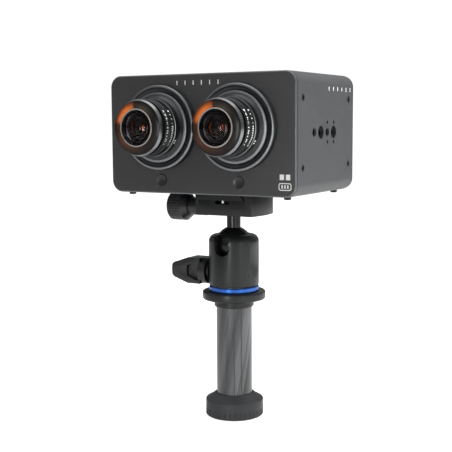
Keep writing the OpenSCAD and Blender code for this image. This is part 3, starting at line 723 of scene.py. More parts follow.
def turned(
    profile: Sequence[tuple[float, float]],
    centre: Vector,
    axis: Axis = Axis.Y,
    sign: float = -1.0,
    steps: int = 128,
    closed: bool = True,
) -> bpy.types.Mesh:
    """Turns a profile about an axis.

    Args:
        profile: Radius and distance along the axis, in millimetres, in order.
        centre: The point on the axis that distances start from, in metres.
        axis: The axis.
        sign: The direction along the axis in which distances grow.
        steps: How many steps make a full turn.
        closed: Whether the last point joins the first.

    Returns:
        The turned mesh.
    """
    work = bmesh.new()
    others = [i for i in range(3) if i != axis.value]
    rings = []
    for radius, along in profile:
        ring = []
        for i in range(steps if radius > 1e-9 else 1):
            turn = 2 * math.pi * i / steps
            point = centre.copy()
            point[axis.value] += sign * along * MM
            point[others[0]] += radius * MM * math.cos(turn)
            point[others[1]] += radius * MM * math.sin(turn)
            ring.append(work.verts.new(point))
        rings.append(ring)
    pairs = list(zip(rings, rings[1:]))
    if closed:
        pairs.append((rings[-1], rings[0]))
    for first, second in pairs:
        for i in range(steps):
            corners = [
                first[i % len(first)],
                first[(i + 1) % len(first)],
                second[(i + 1) % len(second)],
                second[i % len(second)],
            ]
            corners = list(dict.fromkeys(corners))
            if len(corners) > 2:
                work.faces.new(corners)
    return mesh_of(work)


def rounded_outline(width: float, height: float, radius: float, steps: int = 12) -> list[tuple[float, float]]:
    """The outline of a rounded rectangle about the origin, anticlockwise.

    Args:
        width: Full width.
        height: Full height.
        radius: Corner radius.
        steps: Steps in each corner.

    Returns:
        The outline's points, in the units of the sizes.
    """
    points = []
    for quarter, (sx, sz) in enumerate(((1, 1), (-1, 1), (-1, -1), (1, -1))):
        for i in range(steps + 1):
            turn = math.pi / 2 * (quarter + i / steps)
            x = sx * (width / 2 - radius) + radius * math.cos(turn)
            z = sz * (height / 2 - radius) + radius * math.sin(turn)
            points.append((x, z))
    return points


# ------------------------------------------------------------------ geometry nodes


class Trees:
    """The node trees that make what repeats. Each call builds a new tree."""

    @staticmethod
    def start(name: str, inputs: dict[str, str]) -> tuple[bpy.types.NodeTree, Any, bpy.types.Node]:
        """Opens a new tree.

        Args:
            name: The tree's name.
            inputs: Its inputs, each with its socket type: Float, Int or Vector.

        Returns:
            The tree, the outputs of its Group Input, and its Group Output.
        """
        tree = bpy.data.node_groups.new(name, "GeometryNodeTree")
        tree.interface.new_socket(name="Mesh", in_out="OUTPUT", socket_type="NodeSocketGeometry")
        for label, kind in inputs.items():
            tree.interface.new_socket(name=label, in_out="INPUT", socket_type=f"NodeSocket{kind}")
        given = add(tree, "NodeGroupInput").outputs
        return tree, given, add(tree, "NodeGroupOutput")

    @staticmethod
    def close(
        tree: bpy.types.NodeTree, end: bpy.types.Node, shape: bpy.types.NodeSocket, finish: Finish
    ) -> None:
        """Ends a tree in Realize Instances and Set Material.

        Args:
            tree: The tree.
            end: Its Group Output.
            shape: The geometry to put out.
            finish: The finish that it takes.
        """
        solid = add(tree, "GeometryNodeRealizeInstances", {0: shape}).outputs[0]
        dressed = add(tree, "GeometryNodeSetMaterial", {"Geometry": solid, "Material": finish.material()})
        tree.links.new(dressed.outputs[0], end.inputs[0])

    @classmethod
    def row(cls, finish: Finish) -> bpy.types.NodeTree:
        """Equal bars in a straight row, centred on a point.

        Args:
            finish: The bars' finish.

        Returns:
            The tree.
        """
        inputs = {"Count": "Int", "Pitch": "Vector", "Size": "Vector", "Centre": "Vector"}
        tree, given, end = cls.start(f"row_{finish.name}", inputs)
        last = add(tree, "ShaderNodeMath", {0: given["Count"], 1: 1.0}, operation="SUBTRACT").outputs[0]
        half = add(tree, "ShaderNodeMath", {0: last, 1: -0.5}, operation="MULTIPLY").outputs[0]
        back = add(
            tree, "ShaderNodeVectorMath", {0: given["Pitch"], "Scale": half}, operation="SCALE"
        ).outputs[0]
        first = add(
            tree, "ShaderNodeVectorMath", {0: back, 1: given["Centre"]}, operation="ADD"
        ).outputs[0]
        line = add(
            tree,
            "GeometryNodeMeshLine",
            {"Count": given["Count"], "Start Location": first, "Offset": given["Pitch"]},
        ).outputs[0]
        bar = add(tree, "GeometryNodeMeshCube", {"Size": given["Size"]}).outputs[0]
        bars = add(tree, "GeometryNodeInstanceOnPoints", {"Points": line, "Instance": bar}).outputs[0]
        cls.close(tree, end, bars, finish)
        return tree

    @classmethod
    def fan(cls, finish: Finish) -> bpy.types.NodeTree:
        """Equal bars at equal steps round an axis along Y, such as ribs and scale marks.

        Args:
            finish: The bars' finish.

        Returns:
            The tree.
        """
        inputs = {
            "Count": "Int",
            "Radius": "Float",
            "First": "Float",
            "Step": "Float",
            "Size": "Vector",
            "Centre": "Vector",
        }
        tree, given, end = cls.start(f"fan_{finish.name}", inputs)
        index = add(tree, "GeometryNodeInputIndex").outputs[0]
        steps = add(
            tree, "ShaderNodeMath", {0: index, 1: given["Step"]}, operation="MULTIPLY"
        ).outputs[0]
        turn = add(tree, "ShaderNodeMath", {0: steps, 1: given["First"]}, operation="ADD").outputs[0]
        out = add(tree, "ShaderNodeMath", {0: turn}, operation="COSINE").outputs[0]
        up = add(tree, "ShaderNodeMath", {0: turn}, operation="SINE").outputs[0]
        spoke = add(tree, "ShaderNodeCombineXYZ", {0: out, 2: up}).outputs[0]
        reach = add(
            tree, "ShaderNodeVectorMath", {0: spoke, "Scale": given["Radius"]}, operation="SCALE"
        ).outputs[0]
        spot = add(
            tree, "ShaderNodeVectorMath", {0: reach, 1: given["Centre"]}, operation="ADD"
        ).outputs[0]
        dots = add(tree, "GeometryNodePoints", {"Count": given["Count"], "Position": spot}).outputs[0]
        tilt = add(tree, "ShaderNodeMath", {0: turn, 1: -1.0}, operation="MULTIPLY").outputs[0]
        facing = add(tree, "ShaderNodeCombineXYZ", {1: tilt}).outputs[0]
        bar = add(tree, "GeometryNodeMeshCube", {"Size": given["Size"]}).outputs[0]
        bars = add(
            tree, "GeometryNodeInstanceOnPoints", {"Points": dots, "Instance": bar, "Rotation": facing}
        ).outputs[0]
        cls.close(tree, end, bars, finish)
        return tree

    @classmethod
    def thread(cls, finish: Finish) -> bpy.types.NodeTree:
        """The ridge of a screw thread, wound along X.

        Args:
            finish: The ridge's finish.

        Returns:
            The tree.
        """
        inputs = {
            "Turns": "Float",
            "Radius": "Float",
            "Length": "Float",
            "Ridge": "Float",
            "Centre": "Vector",
        }
        tree, given, end = cls.start(f"thread_{finish.name}", inputs)
        line = add(
            tree,
            "GeometryNodeCurveSpiral",
            {
                "Resolution": 36,
                "Rotations": given["Turns"],
                "Start Radius": given["Radius"],
                "End Radius": given["Radius"],
                "Height": given["Length"],
            },
        ).outputs[0]
        ridge = add(
            tree, "GeometryNodeCurvePrimitiveCircle", {"Resolution": 4, "Radius": given["Ridge"]}
        ).outputs[0]
        wound = add(
            tree, "GeometryNodeCurveToMesh", {"Curve": line, "Profile Curve": ridge, "Fill Caps": True}
        ).outputs[0]
        along_x = (0.0, math.pi / 2, 0.0)
        laid = add(
            tree,
            "GeometryNodeTransform",
            {"Geometry": wound, "Translation": given["Centre"], "Rotation": along_x},
        ).outputs[0]
        cls.close(tree, end, laid, finish)
        return tree

    @classmethod
    def figures(cls, finish: Finish, texts: tuple[str, ...]) -> bpy.types.NodeTree:
        """Printed figures at equal steps round an axis along Y, reading along the ring.

        Args:
            finish: The ink.
            texts: The figures, in order.

        Returns:
            The tree.
        """
        inputs = {
            "Radius": "Float",
            "First": "Float",
            "Step": "Float",
            "Height": "Float",
            "Thickness": "Float",
            "Centre": "Vector",
        }
        tree, given, end = cls.start("figures_" + "_".join(texts).replace(".", "-"), inputs)
        reading_along = tuple(Matrix(((0, 0, 1), (0, -1, 0), (1, 0, 0))).to_euler())
        join = add(tree, "GeometryNodeJoinGeometry")
        for i, text in enumerate(texts):
            curves = add(
                tree,
                "GeometryNodeStringToCurves",
                {"String": text, "Size": given["Height"]},
                align_x="CENTER",
                align_y="MIDDLE",
            ).outputs[0]
            real = add(tree, "GeometryNodeRealizeInstances", {0: curves}).outputs[0]
            coarse = add(tree, "GeometryNodeResampleCurve", {"Curve": real, "Count": 12}).outputs[0]
            face = add(tree, "GeometryNodeFillCurve", {"Curve": coarse}).outputs[0]
            solid = add(
                tree, "GeometryNodeExtrudeMesh", {"Mesh": face, "Offset Scale": given["Thickness"]}
            ).outputs[0]
            out = add(tree, "ShaderNodeCombineXYZ", {0: given["Radius"]}).outputs[0]
            laid = add(
                tree,
                "GeometryNodeTransform",
                {"Geometry": solid, "Translation": out, "Rotation": reading_along},
            ).outputs[0]
            step = add(
                tree, "ShaderNodeMath", {0: given["Step"], 1: float(i)}, operation="MULTIPLY"
            ).outputs[0]
            turn = add(tree, "ShaderNodeMath", {0: step, 1: given["First"]}, operation="ADD").outputs[0]
            back = add(tree, "ShaderNodeMath", {0: turn, 1: -1.0}, operation="MULTIPLY").outputs[0]
            facing = add(tree, "ShaderNodeCombineXYZ", {1: back}).outputs[0]
            set_at = add(
                tree,
                "GeometryNodeTransform",
                {"Geometry": laid, "Translation": given["Centre"], "Rotation": facing},
            ).outputs[0]
            tree.links.new(set_at, join.inputs[0])
        cls.close(tree, end, join.outputs[0], finish)
        return tree


def grown(tree: bpy.types.NodeTree, **values: Any) -> bpy.types.Mesh:
    """Runs a node tree and keeps its result as a plain mesh.

    Args:
        tree: The tree.
        **values: Its inputs by name, in lower case.

    Returns:
        The mesh.
    """
    holder = held(bpy.data.meshes.new("empty"))
    modifier = holder.modifiers.new("tree", "NODES")
    modifier.node_group = tree
    for item in tree.interface.items_tree:
        if item.in_out == "INPUT" and item.name.lower() in values:
            modifier[item.identifier] = values[item.name.lower()]
    mesh = baked(holder)
    used = next(material for material in mesh.materials if material is not None)
    mesh.materials.clear()
    mesh.materials.append(used)
    for face in mesh.polygons:
        face.material_index = 0
    return mesh


def joined(meshes: Iterable[bpy.types.Mesh]) -> bpy.types.Mesh:
    """Puts several meshes of one material into one.

    Args:
        meshes: The meshes.

    Returns:
        One mesh with the first one's material, if it has one.
    """
    work = bmesh.new()
    kept = None
    for mesh in meshes:
        work.from_mesh(mesh)
        kept = kept or (mesh.materials[0] if mesh.materials else None)
    result = bpy.data.meshes.new("joined")
    work.to_mesh(result)
    work.free()
    if kept is not None:
        result.materials.append(kept)
    return result


# ------------------------------------------------------------------ the case


@dataclass
class Case:
    """The camera's case: face plate, shell, rear panel, printed marks and threaded sockets.

    Sizes are in millimetres. Places on the face and the side are given from the low corner of the
    plate's box, or from the camera's middle plane.
    """

    edge: float = 1.2
    rear_edge: float = 0.8
    edge_steps: int = 8
    corner: float = 8.7
    gap: float = 0.3
    button_rim: float = 1.0
    ink: float = 0.05
    ink_sunk: float = 0.01

    vent_count: int = 7
    vent_pitch: float = 4.6
    vent_slot: tuple[float, float] = (2.4, 30.0)
    cut_depth: float = 40.0
    screen_gap: float = 0.4
    screen_clear: float = 0.01
    block_offset: float = 1.5

    network_mouth: tuple[float, float] = (16.0, 14.0)
    network_offset: float = -13.0
    video_mouth: tuple[float, float] = (15.0, 6.0)
    video_offset: float = 6.5
    power_mouth: float = 3.0
    power_offset: float = 21.0

    face_bar: tuple[float, float] = (0.7, 3.2)
    face_bar_pitch: float = 6.9
    face_bar_place: tuple[float, float] = (-0.9, 80.7)
    badge_place: tuple[float, float] = (69.2, 7.6)
    badge_size: tuple[float, float] = (9.8, 5.2)
    badge_corner: float = 1.6
    badge_line: float = 0.6
    badge_tick: tuple[float, float] = (1.0, 2.4)
    badge_tick_pitch: float = 2.2
    block: tuple[float, float] = (3.3, 3.8)
    block_pitch: float = 4.7
    block_rise: float = 6.6
    side_bar: tuple[float, float] = (0.8, 3.0)
    side_bar_pitch: float = 7.9
    side_bar_place: tuple[float, float] = (23.4, 76.0)

    thread_inset: float = 0.4
    thread_sunk: float = 0.15
    thread_ridge: float = 0.42
    quarter_inch_pitch: float = 1.27
    three_eighths_pitch: float = 1.5875

    def build(self) -> None:
        """Builds every piece of the case."""
        self.face_plate()
        self.rear_panel()
        self.face_marks()
        self.side_marks()
        self.socket_threads()
        self.port_contacts()

    def slab(self, node: str, edge: float, outward: float) -> bpy.types.Mesh:
        """A plate with one rounded rim, the size of a CAD plate.

        Args:
            node: The CAD plate that gives its box.
            edge: Radius of the rounded rim.
            outward: -1 if its outer face looks along -Y, and 1 if along +Y.

        Returns:
            The plate without its openings.
        """
        low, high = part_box(node)
        size, middle = (high - low) / MM, (high + low) / 2
        outer, inner = (low.y, high.y) if outward < 0 else (high.y, low.y)
        levels = [(0.0, inner)]
        for i in range(self.edge_steps + 1):
            turn = math.pi / 2 * i / self.edge_steps
            depth = edge * (1 - math.sin(turn))
            levels.append((edge * (1 - math.cos(turn)), outer - outward * MM * depth))
        work = bmesh.new()
        rings = []
        for inset, y in levels:
            outline = rounded_outline(size.x - 2 * inset, size.z - 2 * inset, self.corner - inset)
            rings.append([work.verts.new((middle.x + x * MM, y, middle.z + z * MM)) for x, z in outline])
        count = len(rings[0])
        for first, second in zip(rings, rings[1:]):
            for i in range(count):
                j = (i + 1) % count
                work.faces.new((first[i], first[j], second[j], second[i]))
        work.faces.new(rings[0])
        work.faces.new(rings[-1])
        return mesh_of(work)

    @staticmethod
    def rimmed(mesh: bpy.types.Mesh, y: float, edge: float) -> bpy.types.Mesh:
        """Gives a plate its flat finish, and its rounded outer rim the cut finish.

        Args:
            mesh: The plate.
            y: Where its outer face lies, in metres.
            edge: Radius of the rounded rim, in millimetres.

        Returns:
            The same mesh.
        """
        mesh.materials.clear()
        mesh.materials.append(FACE.material())
        mesh.materials.append(PLATE_RIM.material())
        for face in mesh.polygons:
            near = abs(face.center.y - y) < edge * MM * RIM_DEPTH
            sloped = STEEPEST < abs(face.normal.y) < FLATTEST
            face.material_index = 1 if near and sloped else 0
        return mesh

    @staticmethod
    def cut(body: bpy.types.Mesh, cutters: Iterable[bpy.types.Mesh]) -> bpy.types.Mesh:
        """Cuts shapes out of a mesh.

        Args:
            body: The mesh to cut.
            cutters: The closed shapes that are taken away.

        Returns:
            The cut mesh.
        """
        holder, tool = held(body), held(joined(cutters))
        cutter = holder.modifiers.new("openings", "BOOLEAN")
        cutter.operation, cutter.solver, cutter.object = "DIFFERENCE", "EXACT", tool
        mesh = baked(holder)
        bpy.data.objects.remove(tool)
        return mesh

    def hole(self, node: str) -> bpy.types.Mesh:
        """A cutter along Y round a button's cap, with its clear gap.

        Args:
            node: The button, whose inner collar is wider than its cap.

        Returns:
            The closed cutter.
        """
        low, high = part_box(node)
        radius = (high.x - low.x) / 2 / MM - self.button_rim + self.gap
        return self.round_cutter(radius, centre_of(node), 64)

    def round_cutter(self, radius: float, centre: Vector, steps: int) -> bpy.types.Mesh:
        """A cylinder along Y that cuts through a plate.

        Args:
            radius: Its radius.
            centre: Its middle, in metres.
            steps: How many steps make a full turn.

        Returns:
            The closed cutter.
        """
        half = self.cut_depth / 2
        profile = [(0, -half), (radius, -half), (radius, half), (0, half)]
        return turned(profile, centre, steps=steps, closed=False)

    def face_plate(self) -> None:
        """The plate that carries both lenses, with the holes of the two release buttons."""
        blank = self.slab("front_plate", self.edge, -1.0)
        cutters = [self.hole(f"release_button_{side}") for side in ("left", "right")]
        plate = self.rimmed(self.cut(blank, cutters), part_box("front_plate")[0].y, self.edge)
        piece("case_face", plate, "camera", None, ["front_plate"], 25.0)

    def rear_panel(self) -> None:
        """The rear panel, with its screen recess, key holes, vent slots and socket mouths."""
        blank = self.slab("rear_panel", self.rear_edge, 1.0)
        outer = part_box("rear_panel")[1].y
        screen_low, screen_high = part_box("rear_screen")
        fan = centre_of("fan_frame")
        block = centre_of("port_block") - Vector((self.block_offset * MM, 0, 0))
        recess = Vector((self.screen_gap, self.screen_clear, self.screen_gap))
        row = Trees.row(DARK_CELL)
        cutters = [
            self.hole("power_button"),
            self.hole("record_button"),
            grown(
                row,
                count=self.vent_count,
                pitch=(self.vent_pitch * MM, 0, 0),
                size=Vector((self.vent_slot[0], self.cut_depth, self.vent_slot[1])) * MM,
                centre=(fan.x, outer, fan.z),
            ),
            grown(
                row,
                count=1,
                pitch=(0, 0, 0),
                size=screen_high - screen_low + recess * MM,
                centre=(screen_low + screen_high) / 2,
            ),
        ]
        mouths = ((self.network_mouth, self.network_offset), (self.video_mouth, self.video_offset))
        for (width, height), offset in mouths:
            cutters.append(
                grown(
                    row,
                    count=1,
                    pitch=(0, 0, 0),
                    size=Vector((width, self.cut_depth, height)) * MM,
                    centre=(block.x + offset * MM, outer, block.z),
                )
            )
        power = Vector((block.x + self.power_offset * MM, outer, block.z))
        cutters.append(self.round_cutter(self.power_mouth, power, 48))
        plate = self.rimmed(self.cut(blank, cutters), outer, self.rear_edge)
        piece("case_rear", plate, "camera", None, ["rear_panel"], 25.0)

    def face_marks(self) -> None:
        """Plain bars at the top of the face, and a plain badge in its lower corner."""
        low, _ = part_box("front_plate")
        row = Trees.row(PRINT)
        y = low.y + (self.ink_sunk - self.ink / 2) * MM
        bars = grown(
            row,
            count=6,
            pitch=(self.face_bar_pitch * MM, 0, 0),
            size=Vector((self.face_bar[0], self.ink, self.face_bar[1])) * MM,
            centre=(self.face_bar_place[0] * MM, y, low.z + self.face_bar_place[1] * MM),
        )
        corner = Vector((self.badge_place[0] * MM, y, low.z + self.badge_place[1] * MM))
        blocks = grown(
            row,
            count=2,
            pitch=(self.block_pitch * MM, 0, 0),
            size=Vector((self.block[0], self.ink, self.block[1])) * MM,
            centre=corner + Vector((0, 0, self.block_rise)) * MM,
        )
        ticks = grown(
            row,
            count=3,
            pitch=(self.badge_tick_pitch * MM, 0, 0),
            size=Vector((self.badge_tick[0], self.ink, self.badge_tick[1])) * MM,
            centre=corner,
        )
        piece("face_marks", joined([bars, blocks, ticks]), "camera")
        ring = self.frame_ring(corner, *self.badge_size, self.badge_corner, self.badge_line)
        piece("badge_frame", ring, "camera", PRINT)

    def frame_ring(
        self, centre: Vector, width: float, height: float, corner: float, line: float
    ) -> bpy.types.Mesh:
        """A thin printed frame on a face that looks along -Y.

        Args:
            centre: The frame's middle, in metres.
            width: Its outer width.
            height: Its outer height.
            corner: Its outer corner radius.
            line: The width of its line.

        Returns:
            The closed mesh.
        """
        work = bmesh.new()
        loops = []
        for inset, depth in ((0, 0), (0, self.ink), (line, self.ink), (line, 0)):
            outline = rounded_outline(width - 2 * inset, height - 2 * inset, corner - inset, 6)
            y = self.ink / 2 - depth
            loops.append([work.verts.new(centre + Vector((x, y, z)) * MM) for x, z in outline])
        count = len(loops[0])
        for first, second in zip(loops, loops[1:] + loops[:1]):
            for i in range(count):
                j = (i + 1) % count
                work.faces.new((first[i], first[j], second[j], second[i]))
        return mesh_of(work)

    def side_marks(self) -> None:
        """Plain bars high on the side that carries the sockets."""
        low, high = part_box("camera_shell")
        x = high.x + (self.ink / 2 - self.ink_sunk) * MM
        bars = grown(
            Trees.row(PRINT),
            count=6,
            pitch=(0, self.side_bar_pitch * MM, 0),
            size=Vector((self.ink, self.side_bar[0], self.side_bar[1])) * MM,
            centre=(x, self.side_bar_place[0] * MM, low.z + self.side_bar_place[1] * MM),
        )
        piece("side_marks", bars, "camera")

    def socket_threads(self) -> None:
        """The thread ridges inside the four side sockets."""
        tree = Trees.thread(SOCKET)
        for mount in frame["record"]["mounts"]:
            if mount["kind"] != "threaded_hole":
                continue
            radius, depth = mount["dims"]["r_mm"], mount["dims"]["length_mm"]
            length = depth - 2 * self.thread_inset
            pitch = self.quarter_inch_pitch if radius < 4 else self.three_eighths_pitch
            ridge = grown(
                tree,
                turns=length / pitch,
                radius=(radius - self.thread_sunk) * MM,
                length=length * MM,
                ridge=self.thread_ridge * MM,
                centre=Vector(mount["pos_m"]) - Vector((length + self.thread_inset, 0, 0)) * MM,
            )
            piece(f"thread_{mount['name']}", ridge, "camera")

    def port_contacts(self) -> None:
        """The contacts that show inside the rear sockets: a row of springs, a tongue and a pin."""
        low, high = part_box("port_block")
        middle = (low + high) / 2 - Vector((self.block_offset * MM, 0, 0))
        row = Trees.row(GOLD)

        def spot(offset: float, forward: float, rise: float) -> Vector:
            """A place in the block: across from its middle, out from its floor, and up, in millimetres."""
            return Vector((middle.x + offset * MM, low.y + forward * MM, middle.z + rise * MM))

        network = grown(
            row,
            count=8,
            pitch=(1.27 * MM, 0, 0),
            size=Vector((0.5, 7.0, 0.5)) * MM,
            centre=spot(self.network_offset, 7.0, 6.6),
        )
        video = grown(
            row,
            count=9,
            pitch=(1.1 * MM, 0, 0),
            size=Vector((0.5, 8.0, 0.3)) * MM,
            centre=spot(self.video_offset, 6.5, 0.9),
        )
        piece("port_contacts", joined([network, video]), "camera")
        tongue = grown(
            Trees.row(KEY),
            count=1,
            pitch=(0, 0, 0),
            size=Vector((11.0, 9.0, 1.6)) * MM,
            centre=spot(self.video_offset, 6.3, 0.0),
        )
        piece("port_tongue", tongue, "camera")
        profile = [(0, 0), (0.9, 0), (0.9, 10), (0.6, 10.6), (0, 10.8)]
        pin = turned(profile, spot(self.power_offset, 1.8, 0.0), sign=1.0, steps=32, closed=False)
        piece("power_pin", pin, "camera", GOLD)


# ------------------------------------------------------------------ lenses


@dataclass
class FisheyeLens:
    """One lens: turned rings, its scale figures, its coated rim and the glass inside it.

    Sizes are in millimetres. Heights are measured forwards from the case's face, and depths inside
    the lens backwards from the edge of the front glass.
    """

    side: str
    flange_lip: float = 1.0
    tube: float = 19.0
    bore: float = 17.0
    index: float = 21.4
    index_mark: tuple[float, float, float] = (0.12, 2.0, 0.7)
    index_sunk: float = 0.02
    index_drop: float = 2.6
    index_first_deg: float = -31.0
    index_step_deg: float = 5.0
    crown: float = 1.2
    glass_radius: float = 12.6
    glass_edge: float = 0.4
    dome_rise: float = 4.0
    dome_wall: float = 1.2
    lip_radius: float = 0.22
    lips: tuple[tuple[float, float], ...] = ((10.4, 1.6), (8.3, 2.7), (6.1, 1.5), (4.1, 0.5), (1.8, 0.05))
    figure_height: float = 2.2
    figure_thickness: float = 0.06
    figure_step_deg: float = 8.5
    distances: tuple[str, ...] = ("0.1", "0.2", "0.3", "0.4", "0.6", "1", "2", "4", "8")
    stops: tuple[str, ...] = ("2", "2.8", "4", "5.6", "8", "11", "16", "22", "32")
    rib: tuple[float, float, float] = (0.5, 3.4, 0.55)
    rib_count: int = 29
    rib_step_deg: float = 3.2
    rib_arcs_deg: tuple[float, ...] = (46.0, 134.0, 222.0)

    def __post_init__(self) -> None:
        """Finds the lens's axis and face from the CAD."""
        middle = centre_of(f"lens_flange_{self.side}")
        self.centre = Vector((middle.x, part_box(f"lens_flange_{self.side}")[1].y, middle.z))
        self.rim = (self.centre.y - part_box(f"front_bezel_{self.side}")[0].y) / MM
        self.edge = self.rim - self.glass_edge

    def height_of(self, node: str) -> tuple[float, float]:
        """Lowest and highest height of one of the lens's CAD nodes."""
        low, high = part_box(f"{node}_{self.side}")
        return (self.centre.y - high.y) / MM, (self.centre.y - low.y) / MM

    def radius_of(self, node: str) -> float:
        """Outer radius of one of the lens's CAD nodes."""
        low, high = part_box(f"{node}_{self.side}")
        return (high.x - low.x) / 2 / MM

    def build(self) -> None:
        """Dresses the turned parts and builds the rest."""
        self.dress_rings()
        self.coated_rim()
        self.glass()
        self.scales()

    def turned_finish(self, base: str, colour: str, roughness: float, metallic: float) -> TurnedFinish:
        """A turned finish on this lens's own axis.

        Args:
            base: The material's name, without the lens's side.
            colour: Its colour as sRGB hex.
            roughness: Its mean roughness.
            metallic: 1 for bare metal, and less under a dyed oxide layer.

        Returns:
            The finish.
        """
        return TurnedFinish(
            f"{base}_{self.side}",
            colour,
            roughness,
            metallic=metallic,
            grain_mm=0.35,
            relief_mm=0.004,
            axis=Axis.Y,
            centre=tuple(self.centre),
        )

    def dress_rings(self) -> None:
        """Finishes for the rings that keep their CAD shape, and the two that get new ones."""
        for ring in ("focus_ring", "aperture_ring"):
            dress(f"{ring}_{self.side}", SCALE_BLACK)
        # Bare and finely turned, so that the ring round the glass is the palest line on the lens.
        dress(f"glass_ring_{self.side}", self.turned_finish("aluminium_turned_pale", "#8d8984", 0.38, 0.6))
        self.flange()
        self.barrel()

    def banded(
        self,
        name: str,
        profile: Sequence[tuple[float, float]],
        finishes: Sequence[Finish],
        bands: Sequence[tuple[float, float, float, float, int]],
        replaces: str,
    ) -> None:
        """A turned piece whose finish changes from band to band.

        Args:
            name: The piece's name, without its side.
            profile: Radius and height of each corner, in millimetres.
            finishes: Its finishes. Faces take the first one unless a band says otherwise.
            bands: Each as lowest and highest radius, lowest and highest height, and the finish's number.
            replaces: The CAD node that it stands for, without its side.
        """
        mesh = turned(profile, self.centre, steps=160)
        mesh.materials.clear()
        for finish in finishes:
            mesh.materials.append(finish.material())
        for face in mesh.polygons:
            offset = (face.center - self.centre) / MM
            radius, height = math.hypot(offset.x, offset.z), -offset.y
            for inner, outer, lowest, highest, number in bands:
                if inner <= radius <= outer and lowest <= height <= highest:
                    face.material_index = number
        piece(f"{name}_{self.side}", mesh, "camera", None, [f"{replaces}_{self.side}"], 28.0)

    def lip_finish(self) -> TurnedFinish:
        """Cut bright after dyeing: a thin pale line round a dark ring."""
        return self.turned_finish("aluminium_turned_lip", "#77797b", 0.36, 1.0)

    def flange(self) -> None:
        """The dark flange, whose outer chamfer is cut bright after dyeing."""
        low, high = self.height_of("lens_flange")
        outer = self.radius_of("lens_flange")
        bore = self.radius_of("lens_barrel") + 0.3
        floor = high - self.flange_lip
        profile = [
            (bore, low),
            (outer, low),
            (outer, high - 0.9),
            (outer - 0.16, high - 0.55),
            (outer - 0.5, high - 0.18),
            (outer - 0.9, high),
            (outer - 1.75, high),
            (outer - 1.95, high - 0.12),
            (outer - 2.3, floor + 0.3),
            (outer - 2.6, floor + 0.08),
            (outer - 3.1, floor),
            (bore + 0.6, floor),
            (bore, floor - 0.3),
        ]
        # Turned and then dyed: almost black, with fine rings that spread its highlights.
        dark = self.turned_finish("anodised_aluminium_turned_dark", "#242527", 0.34, 0.45)
        bands = [(outer - 2.0, outer - 0.1, high - 0.7, high, 1)]
        self.banded("lens_flange_turned", profile, [dark, self.lip_finish()], bands, "lens_flange")

    def barrel(self) -> None:
        """The fixed barrel: dark step and cone, black index ring, and a bare front band."""
        outer = self.radius_of("lens_barrel")
        tail, _ = self.height_of("lens_barrel")
        step = self.height_of("lens_flange")[1] + 0.6
        index_top = self.height_of("focus_ring")[0] - 0.3
        band, rim = self.radius_of("front_bezel") + 1.1, self.rim - 1.5
        profile = [
            (self.bore, tail),
            (self.tube, tail),
            (self.tube, -2.5),
            (outer - 1, -2.5),
            (outer - 1, 0),
            (outer, 0),
            (outer, step - 0.8),
            (outer - 0.14, step - 0.4),
            (outer - 0.4, step - 0.14),
            (outer - 0.8, step),
            (outer - 1.8, step),
            (outer - 2.3, step + 0.15),
            (self.index + 0.3, step + 1.9),
            (self.index, step + 2.3),
            (self.index, index_top - 0.5),
            (self.index - 0.15, index_top - 0.15),
            (self.index - 0.5, index_top),
            (self.tube, index_top),
            (self.tube, rim - 2.6),
            (band - 0.25, rim - 2.6),
            (band, rim - 2.35),
            (band - 0.5, rim - 1.1),
            (band - 1.0, rim - 0.15),
            (band - 1.1, rim),
            (self.bore, rim),
        ]
        # Dyed a shade lighter than the flange, so that the cone stands out from it.
        grey = self.turned_finish("anodised_aluminium_turned_grey", "#2a2b2d", 0.32, 0.6)
        # Bare metal behind the rim: it mirrors the lights as bright arcs above and below.
        bright = self.turned_finish("aluminium_turned_bright", "#7d7f81", 0.3, 1.0)
        bands = [
            (0, self.index + 0.2, step + 2.0, rim - 2.7, 1),
            (self.tube + 0.3, band + 1, rim - 2.7, rim + 1, 2),
            (outer - 1.9, outer, step - 0.75, step, 3),
            (self.index - 0.6, self.index, index_top - 0.6, index_top, 3),
        ]
        finishes = [grey, SCALE_BLACK, bright, self.lip_finish()]
        self.banded("lens_barrel_turned", profile, finishes, bands, "lens_barrel")

    def coated_rim(self) -> None:
        """The glossy rim between the silver band and the ring round the glass."""
        # Painted reflections round the rim, anticlockwise from the right: grey at the upper right, orange at
        # the upper left, brown at the lower left.
        stops = (
            (0.0, "#120e0c"),
            (0.08, "#15110f"),
            (0.17, "#332e29"),
            (0.245, "#28221e"),
            (0.262, "#241912"),
            (0.285, "#8c4a24"),
            (0.34, "#b05c2a"),
            (0.44, "#a85a2c"),
            (0.475, "#3a2014"),
            (0.52, "#2d1a10"),
            (0.6, "#48281a"),
            (0.7, "#332016"),
            (0.84, "#1c1410"),
            (1.0, "#120e0c"),
        )
        # Optical black under a coating, with painted reflections: orange painted at the upper left, and
        # almost black at the right.
        finish = PaintedReflectionFinish(
            f"optical_coating_rim_{self.side}",
            "#3a2a22",
            0.34,
            coat=0.06,
            specular=0.14,
            grain_mm=0.8,
            relief_mm=0.0005,
            mottle=0.04,
            centre=tuple(self.centre),
            stops=stops,
            fade_mm=(14.9, 18.4),
        )
        low, high = self.height_of("front_bezel")
        outer, inner = self.radius_of("front_bezel"), self.glass_radius + 1.0
        shoulder = high - self.crown
        rounding = [(outer, shoulder)]
        for i in range(1, 9):
            share = i / 8
            rise = self.crown * math.sin(math.pi / 2 * share) ** 0.9
            rounding.append((outer + (inner - outer) * share, shoulder + rise))
        foot = [(self.bore, low), (self.bore, shoulder - 0.3), (outer - 0.2, shoulder - 0.3)]
        mesh = turned(foot + rounding + [(inner, low)], self.centre)
        piece(f"coated_rim_{self.side}", mesh, "camera", finish, [f"front_bezel_{self.side}"], 40.0)

